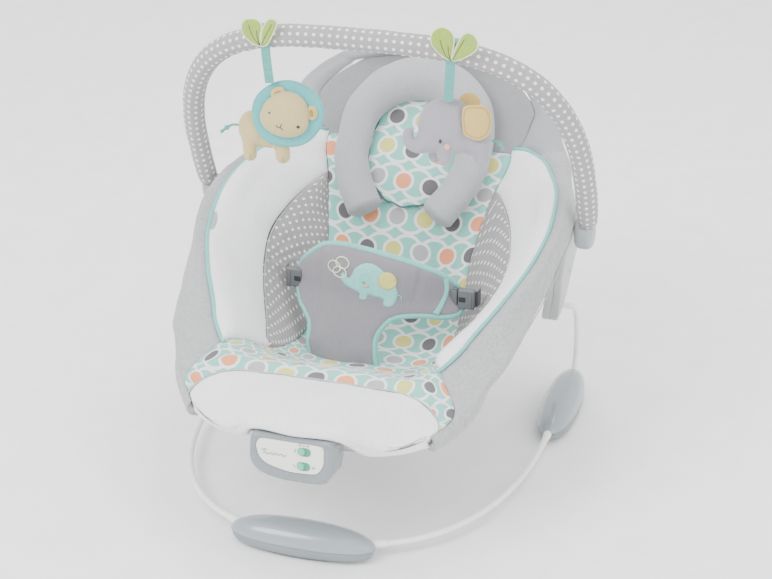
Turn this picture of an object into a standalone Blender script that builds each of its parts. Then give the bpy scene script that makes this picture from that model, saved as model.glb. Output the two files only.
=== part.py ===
"""Baby bouncer seat with a wire base, a padded tilted seat, a toy bar and a vibration unit.

Frame: +Z up, the baby's feet and the control unit towards -Y, the floor at Z = 0, X = 0 on the
plane of symmetry.  Lengths are in metres.  The shapes below are drawn from a point on the floor
under the seat, and empties carry them to the finished frame, whose origin is under the middle of
the whole model's box.
"""
import math

import bmesh
import bpy
from mathutils import Matrix, Vector

GAP = 0.0003                    # clearance between pieces that touch
ORIGIN_SHIFT = Vector((0.0, 0.035, 0.0))   # from the drawing's origin to the finished frame's
SIDES = ((1, "right"), (-1, "left"))

# Wire base
WIRE_R = 0.0036                 # radius of the base wires
WIRE_Z = 0.0155                 # height of the wire where it runs along the floor
LOOP_A, LOOP_B = 0.206, 0.310   # half width and depth of the floor loop
LOOP_EXP = 2.495                # how square the loop's front corners are
LOOP_FRONT = -0.285             # foremost point of the floor loop
LOOP_END_Y = 0.088              # where front and side wires meet inside the side feet
PIVOT = Vector((0.0, 0.153, 0.117))   # axis on which the seat bounces (wire ends in the hubs)

# Feet
FOOT_L, FOOT_W = 0.164, 0.046   # length and width of a foot
FOOT_TOP, FOOT_SPLIT, PAD_H = 0.034, WIRE_Z, 0.0050
SIDE_FOOT_Y = 0.090

# Seat frame and hubs
TUBE_R = 0.0055
HUB_LEAN = 0.18                 # outward lean of the hubs, metres in X for each metre in Z
HUB_X = 0.180                   # parting plane of a hub at the pivot's height
HUB_OUT, HUB_IN = 0.010, 0.010  # thickness of the outer and inner hub shells
HUB_TOP_Z, HUB_R = 0.264, 0.021

# Toy bar
BAR_HALF, BAR_HEIGHT, BAR_EXP = 0.233, 0.250, 3.3
BAR_LEAN = math.radians(24.7)
BAR_FOOT = Vector((0.0, 0.055, 0.274))   # foot of the arch, level with the knuckles' tops
BAR_R, SLEEVE_R = 0.0050, 0.0130
BAR_PIVOT = Vector((0.0, 0.064, 0.257))
KNUCKLE_R = 0.0165

# Seat shape.  Each section has its middle line, its seam between centre panel and wing, its
# piping line and its outer rim, from the hem above the baby's feet to the top of the backrest.
SECTIONS = (
    ((0.0, -0.308, 0.165), (0.046, -0.302, 0.163), (0.092, -0.282, 0.139), (0.132, -0.260, 0.146)),
    ((0.0, -0.258, 0.172), (0.070, -0.252, 0.166), (0.115, -0.243, 0.158), (0.157, -0.228, 0.159)),
    ((0.0, -0.207, 0.170), (0.080, -0.209, 0.172), (0.130, -0.205, 0.180), (0.172, -0.200, 0.178)),
    ((0.0, -0.150, 0.150), (0.085, -0.155, 0.158), (0.146, -0.155, 0.205), (0.192, -0.160, 0.196)),
    ((0.0, -0.080, 0.113), (0.088, -0.085, 0.128), (0.171, -0.110, 0.233), (0.203, -0.105, 0.217)),
    ((0.0, -0.010, 0.104), (0.089, -0.012, 0.120), (0.190, -0.062, 0.256), (0.211, -0.058, 0.237)),
    ((0.0, 0.045, 0.132), (0.090, 0.040, 0.146), (0.199, -0.010, 0.274), (0.217, -0.010, 0.260)),
    ((0.0, 0.078, 0.185), (0.091, 0.075, 0.192), (0.198, 0.035, 0.287), (0.217, 0.045, 0.271)),
    ((0.0, 0.103, 0.235), (0.099, 0.105, 0.238), (0.190, 0.082, 0.296), (0.212, 0.085, 0.280)),
    ((0.0, 0.133, 0.270), (0.108, 0.133, 0.270), (0.170, 0.130, 0.305), (0.194, 0.135, 0.300)),
    ((0.0, 0.165, 0.305), (0.117, 0.165, 0.304), (0.150, 0.168, 0.318), (0.178, 0.168, 0.320)),
    ((0.0, 0.208, 0.356), (0.090, 0.208, 0.356), (0.130, 0.204, 0.358), (0.157, 0.203, 0.360)),
    ((0.0, 0.240, 0.395), (0.050, 0.239, 0.393), (0.085, 0.234, 0.390), (0.110, 0.231, 0.394)),
)
SEAM = 1.0                      # place across a section of the seam beside the centre panel
BACK_TOP = Vector((0.0, 0.242, 0.405))  # middle of the frame above the backrest
FRONT_TUBE_MID = Vector((0.0, -0.274, 0.129))
PAD_T = 0.010                   # thickness of the padded panels
FOOT_PANEL_T = 0.0075           # thickness of the panel over the front tube
RIM_FIRST, RIM_LAST = 2.7, 6.2  # stations between which a side's rolled rim runs
BACK_FIRST = 9.0                # station at which the backrest's rolled rim starts
RIM_R = 0.0135                  # radius of the padded roll over the frame tube

# Head support: a horseshoe of stuffed tube round a thin oval insert
HEAD_STATION, HEAD_LIFT = 10.05, 0.021   # its place up the backrest, and height over the panel
HEAD_HALF, HEAD_RISE = 0.078, 0.082      # half width and height of its arc
HEAD_LEGS = ((0.072, -0.034), (0.060, -0.068), (0.043, -0.096))   # its legs, below the arc
HEAD_R, HEAD_SQUASH = 0.0218, 0.82
INSERT_HALF, INSERT_RISE, INSERT_LIFT = 0.048, 0.062, 0.0075

# Toys on the bar
LION_X, ELEPHANT_X = -0.117, 0.098
STRAP_OUT = SLEEVE_R + 0.0030   # distance from the bar's centre line to a toy's ribbon
RIBBON_W, RIBBON_T = 0.010, 0.0016
LION_DROP, ELEPHANT_DROP = 0.040, 0.050
LEAF_HALF, LEAF_T = 0.023, 0.003
LION_HEAD = Vector((0.030, -STRAP_OUT, -0.0815))         # from the bar's centre line
LION_BODY = LION_HEAD + Vector((-0.041, 0.030, -0.032))
ELEPHANT_HEAD = Vector((-0.026, -STRAP_OUT + 0.004, -0.086))
ELEPHANT_BODY = Vector((0.027, -STRAP_OUT + 0.014, -0.096))

# Restraint: rows of the crotch panel (Y, Z and half width), and the buckles on its waist straps
RESTRAINT_ROWS = ((-0.046, 0.119, 0.034), (-0.050, 0.140, 0.040), (-0.040, 0.165, 0.060),
                  (-0.026, 0.188, 0.080), (-0.012, 0.206, 0.074), (-0.002, 0.218, 0.058))
RESTRAINT_T, RESTRAINT_BULGE, RESTRAINT_HALF = 0.0065, 0.026, 0.080
BUCKLE_Y, BUCKLE_Z = 0.010, 0.196
PLUG_X, SOCKET_X, STRAP_X = 0.0885, 0.1055, 0.1180
PLUG_SIZE, SOCKET_SIZE = (0.012, 0.006, 0.020), (0.020, 0.009, 0.025)
STRAP_SIZE = (0.0018, 0.018, 0.020)

# Control unit
UNIT_W, UNIT_D, UNIT_H = 0.090, 0.060, 0.048
UNIT_WALL, UNIT_BEZEL, UNIT_SIDE = 0.0022, 0.0045, 0.0075
UNIT_LIP = 0.0105               # depth of the housing below its face plate
UNIT_PLACE = Matrix.Translation((0.0, -0.3255, 0.1095)) @ Matrix.Rotation(math.radians(-12), 4, "X")
SWITCH_X, SWITCH_DZ, SWITCH_TRAVEL = 0.016, 0.0078, 0.0055
SLOT_W, SLOT_H, KNOB = 0.0142, 0.0086, (0.0080, 0.0070, 0.0080)
DOOR_W, DOOR_D, DOOR_Y = 0.056, 0.022, 0.0240
FACE_T = 0.0024
CELL_R, CELL_L, CELL_PITCH, CELL_Z = 0.0070, 0.0500, 0.0146, 0.0078
MOTOR_X, MOTOR_Y, MOTOR_R, MOTOR_L = 0.0295, 0.0180, 0.0048, 0.0150
WEIGHT_R, WEIGHT_Y = 0.0042, (0.0260, 0.0290)


def clear_scene():
    """Remove whatever objects the scene starts with."""
    for old in list(bpy.data.objects):
        bpy.data.objects.remove(old, do_unlink=True)


def finish(obj, colour, roughness=0.5, metallic=0.0):
    """Give an object its own Principled material."""
    material = bpy.data.materials.new(obj.name)
    material.use_nodes = True
    shader = material.node_tree.nodes["Principled BSDF"]
    shader.inputs["Base Color"].default_value = (*colour, 1.0)
    shader.inputs["Roughness"].default_value = roughness
    shader.inputs["Metallic"].default_value = metallic
    obj.data.materials.clear()
    obj.data.materials.append(material)
    return obj


def mesh_object(name, bm, smooth=True):
    """Turn a bmesh into an object with outward faces."""
    bmesh.ops.recalc_face_normals(bm, faces=bm.faces)
    mesh = bpy.data.meshes.new(name)
    bm.to_mesh(mesh)
    bm.free()
    if smooth:
        mesh.shade_smooth()
        mesh.set_sharp_from_angle(angle=math.radians(40))
    obj = bpy.data.objects.new(name, mesh)
    bpy.context.collection.objects.link(obj)
    return obj


def tube(name, points, radius, resolution=2):
    """Solid rod along a polyline."""
    curve = bpy.data.curves.new(name, "CURVE")
    curve.dimensions = "3D"
    curve.bevel_depth = radius
    curve.bevel_resolution = resolution
    curve.use_fill_caps = True
    spline = curve.splines.new("POLY")
    spline.points.add(len(points) - 1)
    for place, point in zip(spline.points, points):
        place.co = (*point, 1.0)
    obj = bpy.data.objects.new(name, curve)
    bpy.context.collection.objects.link(obj)
    return obj


def rod_cutter(name, points, radius, count=12):
    """Closed rod whose flats clear a tube of the given radius by the usual gap."""
    reach = (radius + GAP) / math.cos(math.pi / count)
    bm = bmesh.new()
    rows = [[bm.verts.new(p) for p in ring(point, path_axes(points, i), reach, count)]
            for i, point in enumerate(points)]
    for row_a, row_b in zip(rows, rows[1:]):
        for k in range(count):
            j = (k + 1) % count
            bm.faces.new((row_a[k], row_a[j], row_b[j], row_b[k]))
    bm.faces.new(rows[0][::-1])
    bm.faces.new(rows[-1])
    return mesh_object(name, bm)


def cut(target, cutter):
    """Subtract a cutter from an object and keep the cutter out of the model."""
    cutter.hide_render = True
    cutter.display_type = "WIRE"
    modifier = target.modifiers.new("cut", "BOOLEAN")
    modifier.operation = "DIFFERENCE"
    modifier.solver = "EXACT"
    modifier.object = cutter


def smooth_through(points, steps):
    """Points on a smooth curve through the given ones (Catmull-Rom)."""
    knots = [Vector(p) for p in points]
    knots = [2 * knots[0] - knots[1]] + knots + [2 * knots[-1] - knots[-2]]
    out = []
    for i in range(1, len(knots) - 2):
        for k in range(steps):
            out.append(catmull(knots[i - 1:i + 3], k / steps))
    out.append(knots[-2])
    return out


def catmull(four, u):
    """Point between the middle two of four knots."""
    a, b, c, d = four
    return 0.5 * (2 * b + (c - a) * u + (2 * a - 5 * b + 4 * c - d) * u * u
                  + (3 * b - a - 3 * c + d) * u ** 3)


def knot_value(knots, u):
    """Smooth value of a list of knots at a place counted in knots."""
    i = max(0, min(len(knots) - 2, int(math.floor(u))))
    before = knots[i - 1] if i > 0 else 2 * knots[0] - knots[1]
    after = knots[i + 2] if i + 2 < len(knots) else 2 * knots[-1] - knots[-2]
    return catmull((before, knots[i], knots[i + 1], after), u - i)


def section(s):
    """The four places across the seat at station s."""
    return [knot_value([Vector(row[k]) for row in SECTIONS], s) for k in range(4)]


def seat_point(s, t):
    """Point on the seat's upper surface: station s, place t across (negative is left)."""
    middle, seam, piping, rim = section(s)
    mirror = Vector((-seam.x, seam.y, seam.z))
    knots = [mirror, middle, seam, piping, rim]
    point = knot_value(knots, abs(t) + 1)
    return Vector((math.copysign(1.0, t) * point.x, point.y, point.z))


def seat_normal(s, t):
    """Upward normal of the seat's upper surface."""
    e = 0.02
    along = seat_point(s + e, t) - seat_point(s - e, t)
    across = seat_point(s, t + e) - seat_point(s, t - e)
    return across.cross(along).normalized()


def frame_point(s, side=1):
    """Centre of the rolled rim, which is also the frame tube's centre, at station s."""
    _, _, piping, rim = section(s)
    middle = (piping + rim) / 2 + Vector((-0.004, 0.0, -0.008))
    return Vector((side * middle.x, middle.y, middle.z))


def rim_radius(s):
    """Radius of the rolled rim, fatter where the roll is wide towards the feet."""
    _, _, piping, rim = section(s)
    return max(RIM_R, min(0.021, (piping - rim).length / 2))


def ring(centre, normal_axes, radius, count, squash=1.0):
    """A closed ring of points in the plane of two axes."""
    first, second = normal_axes
    return [centre + radius * (math.cos(a) * first + squash * math.sin(a) * second)
            for a in (2 * math.pi * k / count for k in range(count))]


def path_axes(points, i):
    """Two directions square to a path at its point i, kept level."""
    along = (points[min(i + 1, len(points) - 1)] - points[max(i - 1, 0)]).normalized()
    first = along.cross(Vector((0, 0, 1)))
    if first.length < 1e-4:
        first = Vector((1, 0, 0))
    first.normalize()
    return first, first.cross(along).normalized()


def sleeve(name, points, radii, bore, count=10):
    """Padded tube with a bore along a path, open at both ends."""
    bm = bmesh.new()
    rings = []
    for i, point in enumerate(points):
        axes = path_axes(points, i)
        rings.append([[bm.verts.new(p) for p in ring(point, axes, r, count)]
                      for r in (radii[i], bore)])
    for (outer_a, inner_a), (outer_b, inner_b) in zip(rings, rings[1:]):
        for k in range(count):
            j = (k + 1) % count
            bm.faces.new((outer_a[k], outer_a[j], outer_b[j], outer_b[k]))
            bm.faces.new((inner_a[j], inner_a[k], inner_b[k], inner_b[j]))
    for outer, inner in (rings[0], rings[-1]):
        for k in range(count):
            j = (k + 1) % count
            bm.faces.new((outer[k], outer[j], inner[j], inner[k]))
    return mesh_object(name, bm)


def rim_line():
    """Centres and radii of the rolled rim along the right side and over the top."""
    stations = [RIM_FIRST + k / 8 for k in range(8 * (len(SECTIONS) - 4) + 3)]
    line = [(frame_point(s), rim_radius(s)) for s in stations]
    last = line[-1][0]
    top = BACK_TOP
    line += [(last.lerp(top, k / 10), RIM_R) for k in range(1, 11)]
    return line


def clear_of_rim(point, line, margin=0.0015):
    """Whether a point keeps clear of the rolled rim."""
    mirrored_point = Vector((abs(point.x), point.y, point.z))
    return all((mirrored_point - centre).length > radius + margin for centre, radius in line)


def rim_limit(s, start, line, farthest=2.6, thickness=PAD_T):
    """Farthest place across whose padding keeps clear of the rolled rim."""
    t = start
    step = 0.03
    while t + step < farthest:
        point = seat_point(s, t + step)
        under = point - thickness * seat_normal(s, t + step)
        if not (clear_of_rim(point, line) and clear_of_rim(under, line)):
            break
        t += step
    return t


def panel(name, stations, spans, thickness=PAD_T):
    """Padded panel on the seat surface; spans gives its two edges at each station."""
    bm = bmesh.new()
    top, bottom = [], []
    for s, (low, high, count) in zip(stations, spans):
        places = [low + (high - low) * k / count for k in range(count + 1)]
        points = [seat_point(s, t) for t in places]
        normals = [seat_normal(s, t) for t in places]
        top.append([bm.verts.new(p) for p in points])
        bottom.append([bm.verts.new(p - thickness * n) for p, n in zip(points, normals)])
    for sheet, flip in ((top, False), (bottom, True)):
        for row_a, row_b in zip(sheet, sheet[1:]):
            for k in range(len(row_a) - 1):
                face = (row_a[k], row_a[k + 1], row_b[k + 1], row_b[k])
                bm.faces.new(face[::-1] if flip else face)
    edge_top = border(top)
    edge_bottom = border(bottom)
    for k in range(len(edge_top)):
        j = (k + 1) % len(edge_top)
        bm.faces.new((edge_top[k], edge_bottom[k], edge_bottom[j], edge_top[j]))
    return mesh_object(name, bm)


def border(grid):
    """Vertices around the edge of a grid, in order."""
    last = len(grid) - 1
    right = [grid[i][-1] for i in range(1, last)]
    left = [grid[i][0] for i in range(last - 1, 0, -1)]
    return list(grid[0]) + right + list(grid[last][::-1]) + left


def box(name, size, centre, bevel=0.0, segments=2):
    """Rectangular block with rounded edges."""
    bm = bmesh.new()
    bmesh.ops.create_cube(bm, size=1.0)
    bmesh.ops.scale(bm, vec=Vector(size), verts=bm.verts)
    bmesh.ops.translate(bm, vec=Vector(centre), verts=bm.verts)
    if bevel:
        bmesh.ops.bevel(bm, geom=bm.edges, offset=bevel, segments=segments,
                        affect="EDGES", profile=0.5)
    return mesh_object(name, bm)


def cylinder(name, radius, depth, centre, axis, segments=16):
    """Disc or rod whose axis is X, Y or Z."""
    bm = bmesh.new()
    bmesh.ops.create_cone(bm, cap_ends=True, segments=segments, radius1=radius, radius2=radius,
                          depth=depth)
    turn = {"X": Matrix.Rotation(math.pi / 2, 4, "Y"), "Y": Matrix.Rotation(math.pi / 2, 4, "X"),
            "Z": Matrix.Identity(4)}[axis]
    bmesh.ops.transform(bm, matrix=Matrix.Translation(centre) @ turn, verts=bm.verts)
    return mesh_object(name, bm)


def ellipsoid(name, radii, centre, segments=14, rings=9):
    """Soft rounded body."""
    bm = bmesh.new()
    bmesh.ops.create_uvsphere(bm, u_segments=segments, v_segments=rings, radius=1.0)
    bmesh.ops.scale(bm, vec=Vector(radii), verts=bm.verts)
    bmesh.ops.translate(bm, vec=Vector(centre), verts=bm.verts)
    return mesh_object(name, bm)


def prism(name, outline, low, high, lean=0.0, lean_from=0.0):
    """Outline in the YZ plane extruded along X, leaning outwards as it rises."""
    bm = bmesh.new()
    ends = []
    for x in (low, high):
        ends.append([bm.verts.new((x + lean * (z - lean_from), y, z)) for y, z in outline])
    for k in range(len(outline)):
        j = (k + 1) % len(outline)
        bm.faces.new((ends[0][k], ends[0][j], ends[1][j], ends[1][k]))
    bm.faces.new(ends[0][::-1])
    bm.faces.new(ends[1])
    return mesh_object(name, bm)


def mirrored(points, side):
    """Points with X multiplied by the side's sign."""
    return [Vector((side * p[0], p[1], p[2])) for p in points]


# ---------------------------------------------------------------- wire base

def floor_loop_point(angle):
    """Point of the floor loop, 0 at the front and a quarter turn at the sides."""
    power = 2 / LOOP_EXP
    x = LOOP_A * math.copysign(abs(math.sin(angle)) ** power, angle)
    y = LOOP_FRONT + LOOP_B - LOOP_B * abs(math.cos(angle)) ** power
    return Vector((x, y, WIRE_Z))


def front_wire_points():
    """Route of the front wire between the two side feet."""
    quarter = math.pi / 2
    angles = [quarter * k / 15 for k in range(-15, 16)]
    loop = [floor_loop_point(a) for a in angles]
    ends = [Vector((side * LOOP_A, y, WIRE_Z)) for side, y in ((-1, LOOP_END_Y - GAP),
                                                               (1, LOOP_END_Y - GAP))]
    return [ends[0]] + loop + [ends[1]]


def side_wire_points(side):
    """Route of a side wire from its foot up to the pivot in the hub."""
    riser = [(LOOP_A, LOOP_END_Y + GAP, WIRE_Z), (LOOP_A, 0.148, WIRE_Z), (LOOP_A, 0.165, 0.021),
             (LOOP_A, 0.174, 0.038), (LOOP_A, 0.175, 0.063), (LOOP_A, 0.169, 0.088),
             (LOOP_A, 0.160, 0.106)]
    bend = [(LOOP_A - 0.001, 0.1558, 0.1128), (LOOP_A - 0.004, PIVOT.y + 0.0005, PIVOT.z - 0.0005),
            (LOOP_A - 0.009, PIVOT.y, PIVOT.z), (LOOP_A - 0.033, PIVOT.y, PIVOT.z)]
    return mirrored(smooth_through(riser, 2) + bend, side)


def build_base():
    """The three wires of the base."""
    white = (0.86, 0.86, 0.84)
    finish(tube("front_wire", front_wire_points(), WIRE_R), white, 0.35)
    for side, word in SIDES:
        finish(tube(f"{word}_side_wire", side_wire_points(side), WIRE_R), white, 0.35)


def foot_ring(centre, along_x, length, width, z, count=20):
    """One level of a foot: an ellipse-like outline with blunt ends."""
    points = []
    for k in range(count):
        a = 2 * math.pi * k / count
        u = math.copysign(abs(math.cos(a)) ** 0.85, math.cos(a)) * length / 2
        v = math.copysign(abs(math.sin(a)) ** 0.85, math.sin(a)) * width / 2
        offset = (u, v) if along_x else (-v, u)
        points.append(Vector((centre[0] + offset[0], centre[1] + offset[1], z)))
    return points


def lofted(name, levels):
    """Closed solid through stacked rings, capped at both ends."""
    bm = bmesh.new()
    rows = [[bm.verts.new(p) for p in level] for level in levels]
    for row_a, row_b in zip(rows, rows[1:]):
        for k in range(len(row_a)):
            j = (k + 1) % len(row_a)
            bm.faces.new((row_a[k], row_a[j], row_b[j], row_b[k]))
    bm.faces.new(rows[0][::-1])
    bm.faces.new(rows[-1])
    return mesh_object(name, bm)


def build_foot(word, centre, along_x, wires):
    """A foot: glossy top shell, base plate clamped under the wire, and rubber pad."""
    grey = (0.36, 0.40, 0.41)
    top_levels = [(FOOT_SPLIT + GAP / 2, 1.0), (0.0215, 1.0), (0.0275, 0.95), (0.0318, 0.82),
                  (FOOT_TOP, 0.55)]
    shell = lofted(f"{word}_foot_shell",
                   [foot_ring(centre, along_x, FOOT_L * k, FOOT_W * k, z) for z, k in top_levels])
    base_levels = [(PAD_H + GAP, 0.86), (0.0085, 0.95), (FOOT_SPLIT - GAP / 2, 0.995)]
    base = lofted(f"{word}_foot_base",
                  [foot_ring(centre, along_x, FOOT_L * k, FOOT_W * k, z) for z, k in base_levels])
    pad = lofted(f"{word}_foot_pad",
                 [foot_ring(centre, along_x, FOOT_L * k * 0.62, FOOT_W * k * 0.80, z)
                  for z, k in ((0.0, 0.97), (PAD_H, 1.0))])
    for k, points in enumerate(wires):
        groove = rod_cutter(f"{word}_foot_groove_{k}", points, WIRE_R)
        cut(shell, groove)
        cut(base, groove)
    finish(shell, grey, 0.18)
    finish(base, (0.30, 0.33, 0.34), 0.30)
    finish(pad, (0.20, 0.21, 0.21), 0.85)


def build_feet():
    """One foot under the front of the loop and one under each side."""
    front = front_wire_points()
    build_foot("front", (0.0, LOOP_FRONT), True, [front])
    for side, word in SIDES:
        start = Vector((side * LOOP_A, SIDE_FOOT_Y - FOOT_L, WIRE_Z))
        foot_wire = [start] + side_wire_points(side)[1:6]
        build_foot(word, (side * LOOP_A, SIDE_FOOT_Y), False,
                   [[p for p in front if side * p.x > 0.12], foot_wire])


# ---------------------------------------------------------------- seat frame

def hub_outline():
    """Outline of a hub in the YZ plane: a rounded foot at the pivot and a wide top."""
    low = [(PIVOT.y - 0.006 + HUB_R * math.cos(a), PIVOT.z + 0.004 + HUB_R * math.sin(a))
           for a in (math.radians(d) for d in range(-175, 11, 31))]
    top = [(0.160, 0.185), (0.140, HUB_TOP_Z - 0.010), (0.130, HUB_TOP_Z), (0.052, HUB_TOP_Z),
           (0.044, HUB_TOP_Z - 0.010), (0.066, 0.200), (0.100, 0.160)]
    return low + top


def hub_sockets(side):
    """Frame tube ends inside a hub: the front tube's and the back tube's."""
    front_end = Vector((side * 0.203, 0.062, 0.236))
    back_end = Vector((side * 0.206, 0.112, 0.236))
    return front_end, back_end


def side_rim_path(side):
    """Centre line of the frame inside one side's rolled rim, from the feet to the hub."""
    count = 10
    stations = [RIM_FIRST + (RIM_LAST - RIM_FIRST) * k / count for k in range(count + 1)]
    return [frame_point(s, side) for s in stations], [rim_radius(s) for s in stations]


def back_rim_path():
    """Centre line of the frame inside the backrest's rolled rim, from right to left."""
    right = [frame_point(s) for s in (BACK_FIRST, 9.7, 10.4, 11.1, 11.8)]
    shoulder = Vector((0.062, BACK_TOP.y - 0.003, BACK_TOP.z - 0.007))
    knots = right + [shoulder, BACK_TOP] + mirrored(right + [shoulder], -1)[::-1]
    return smooth_through(knots, 2)


def front_tube_points():
    """Route of the seat's front tube, from hub to hub past the baby's feet."""
    rim, _ = side_rim_path(1)
    hub_end = [hub_sockets(1)[0], Vector((0.2045, 0.056, 0.256)), Vector((0.2055, 0.030, 0.266))]
    feet_end = smooth_through([rim[0], (0.168, -0.193, 0.163), (0.160, -0.212, 0.153),
                               (0.143, -0.236, 0.143), (0.108, -0.258, 0.135),
                               (0.060, -0.270, 0.130)], 2)[1:]
    right = hub_end + rim[::-1] + feet_end
    return right + [FRONT_TUBE_MID] + mirrored(right, -1)[::-1]


def back_tube_points():
    """Route of the backrest's tube, from hub to hub over the top."""
    rim = back_rim_path()
    hub_end = smooth_through([hub_sockets(1)[1], (0.2045, 0.110, 0.254), (0.196, 0.115, 0.275),
                              rim[0]], 3)[:-1]
    return hub_end + rim + mirrored(hub_end, -1)[::-1]


def lengthened(points, extra=0.002):
    """The same polyline with both ends pushed out a little."""
    start = points[0] + extra * (points[0] - points[1]).normalized()
    end = points[-1] + extra * (points[-1] - points[-2]).normalized()
    return [start] + list(points[1:-1]) + [end]


def build_frame():
    """Frame tubes and the two-part hubs that join them to the base."""
    steel = (0.55, 0.56, 0.58)
    front = front_tube_points()
    back = back_tube_points()
    finish(tube("front_tube", front, TUBE_R), steel, 0.35, 0.9)
    finish(tube("back_tube", back, TUBE_R), steel, 0.35, 0.9)
    for side, word in SIDES:
        outline = hub_outline()
        x = side * HUB_X
        lean = side * HUB_LEAN
        outer = prism(f"{word}_hub_cover", outline, x + side * GAP, x + side * HUB_OUT,
                      lean, PIVOT.z)
        inner = prism(f"{word}_hub_body", outline, x, x - side * HUB_IN, lean, PIVOT.z)
        for k, points in enumerate((front, back, side_wire_points(side))):
            radius = WIRE_R if k == 2 else TUBE_R
            near = [p for p in points if side * p.x > 0.10 and p.y > -0.05]
            groove = rod_cutter(f"{word}_hub_groove_{k}", lengthened(near), radius + 5 * GAP)
            cut(outer, groove)
            cut(inner, groove)
        finish(outer, (0.72, 0.73, 0.72), 0.40)
        finish(inner, (0.66, 0.67, 0.66), 0.45)


# ---------------------------------------------------------------- toy bar

def bar_point(angle):
    """Point on the toy bar's centre line, 0 at the right foot, a half turn at the left."""
    power = 2 / BAR_EXP
    x = BAR_HALF * math.copysign(abs(math.cos(angle)) ** power, math.cos(angle))
    rise = BAR_HEIGHT * abs(math.sin(angle)) ** power
    return BAR_FOOT + Vector((x, -rise * math.sin(BAR_LEAN), rise * math.cos(BAR_LEAN)))


def bar_place(x):
    """Point of the bar's centre line above a given X."""
    cosine = math.copysign(abs(x / BAR_HALF) ** (BAR_EXP / 2), x)
    return bar_point(math.acos(cosine))


def build_toy_bar():
    """Arched bar in its puckered sleeve, with a knuckle on each hub."""
    steps = 30
    arch = [bar_point(math.pi * k / steps) for k in range(steps + 1)]
    slope = Vector((0, math.sin(BAR_LEAN), -math.cos(BAR_LEAN)))
    path = [arch[0] + 0.012 * slope] + arch + [arch[-1] + 0.012 * slope]
    finish(tube("toy_bar", path, BAR_R), (0.80, 0.80, 0.78), 0.4)
    radii = [SLEEVE_R * (0.86 if i in (0, steps) else 1.0) for i in range(steps + 1)]
    finish(sleeve("toy_bar_sleeve", arch, radii, (BAR_R + GAP) * 1.06), (0.55, 0.54, 0.53), 0.9)
    for side, word in SIDES:
        knuckle = box(f"{word}_bar_knuckle", (0.0235, 2 * KNUCKLE_R, 0.029),
                      (side * 0.2285, BAR_PIVOT.y, BAR_PIVOT.z), 0.006)
        near = lengthened([p for p in path if side * p.x > 0.1])
        cut(knuckle, rod_cutter(f"{word}_knuckle_bore", near, BAR_R))
        finish(knuckle, (0.40, 0.43, 0.43), 0.3)


def ribbon(name, start, end, width, thickness):
    """Flat strap hanging between two points, its width along X."""
    middle = (start + end) / 2
    length = (start - end).length
    strap = box(name, (width, thickness, length), (0, 0, 0))
    slope = (start - end).normalized()
    turn = slope.to_track_quat("Z", "Y").to_matrix().to_4x4()
    strap.data.transform(Matrix.Translation(middle) @ turn)
    return strap


def leaf(name, place):
    """A pair of stitched leaves standing on the bar."""
    outline = []
    for k in range(21):
        a = math.pi * k / 20
        u = math.cos(a)
        outline.append((LEAF_HALF * u, 0.030 * math.sin(a) * (0.62 + 0.50 * abs(u)) + 0.016))
    outline += [(-0.012, 0.0085), (0.0, 0.0040), (0.012, 0.0085)]
    bm = bmesh.new()
    front, back = [], []
    for u, v in outline:
        base = place + Vector((u, -STRAP_OUT - 0.004 - 0.10 * v, v))
        front.append(bm.verts.new(base))
        back.append(bm.verts.new(base + Vector((0, LEAF_T, 0))))
    count = len(outline)
    for k in range(count):
        j = (k + 1) % count
        bm.faces.new((front[k], front[j], back[j], back[k]))
    bm.faces.new(front)
    bm.faces.new(back[::-1])
    return mesh_object(name, bm)


def build_toys():
    """Lion and elephant on ribbons, each with a pair of leaves above the bar."""
    teal, green, tan, lilac = ((0.25, 0.60, 0.56), (0.45, 0.58, 0.18), (0.72, 0.64, 0.46),
                               (0.48, 0.46, 0.48))
    lion, elephant = bar_place(LION_X), bar_place(ELEPHANT_X)
    for word, place, drop in (("lion", lion, LION_DROP), ("elephant", elephant, ELEPHANT_DROP)):
        finish(leaf(f"{word}_leaf", place), green, 0.9)
        start = place + Vector((0, -STRAP_OUT, -0.001))
        end = start + Vector((0, 0, -drop))
        finish(ribbon(f"{word}_strap", start, end, RIBBON_W, RIBBON_T), teal, 0.6)
    finish(ellipsoid("lion_head", (0.041, 0.021, 0.041), lion + LION_HEAD), teal, 0.9)
    finish(ellipsoid("lion_body", (0.026, 0.018, 0.022), lion + LION_BODY), tan, 0.9)
    finish(ellipsoid("elephant_head", (0.030, 0.023, 0.031), elephant + ELEPHANT_HEAD), lilac, 0.9)
    finish(ellipsoid("elephant_body", (0.024, 0.021, 0.029), elephant + ELEPHANT_BODY), lilac, 0.9)


# ---------------------------------------------------------------- soft seat

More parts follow.
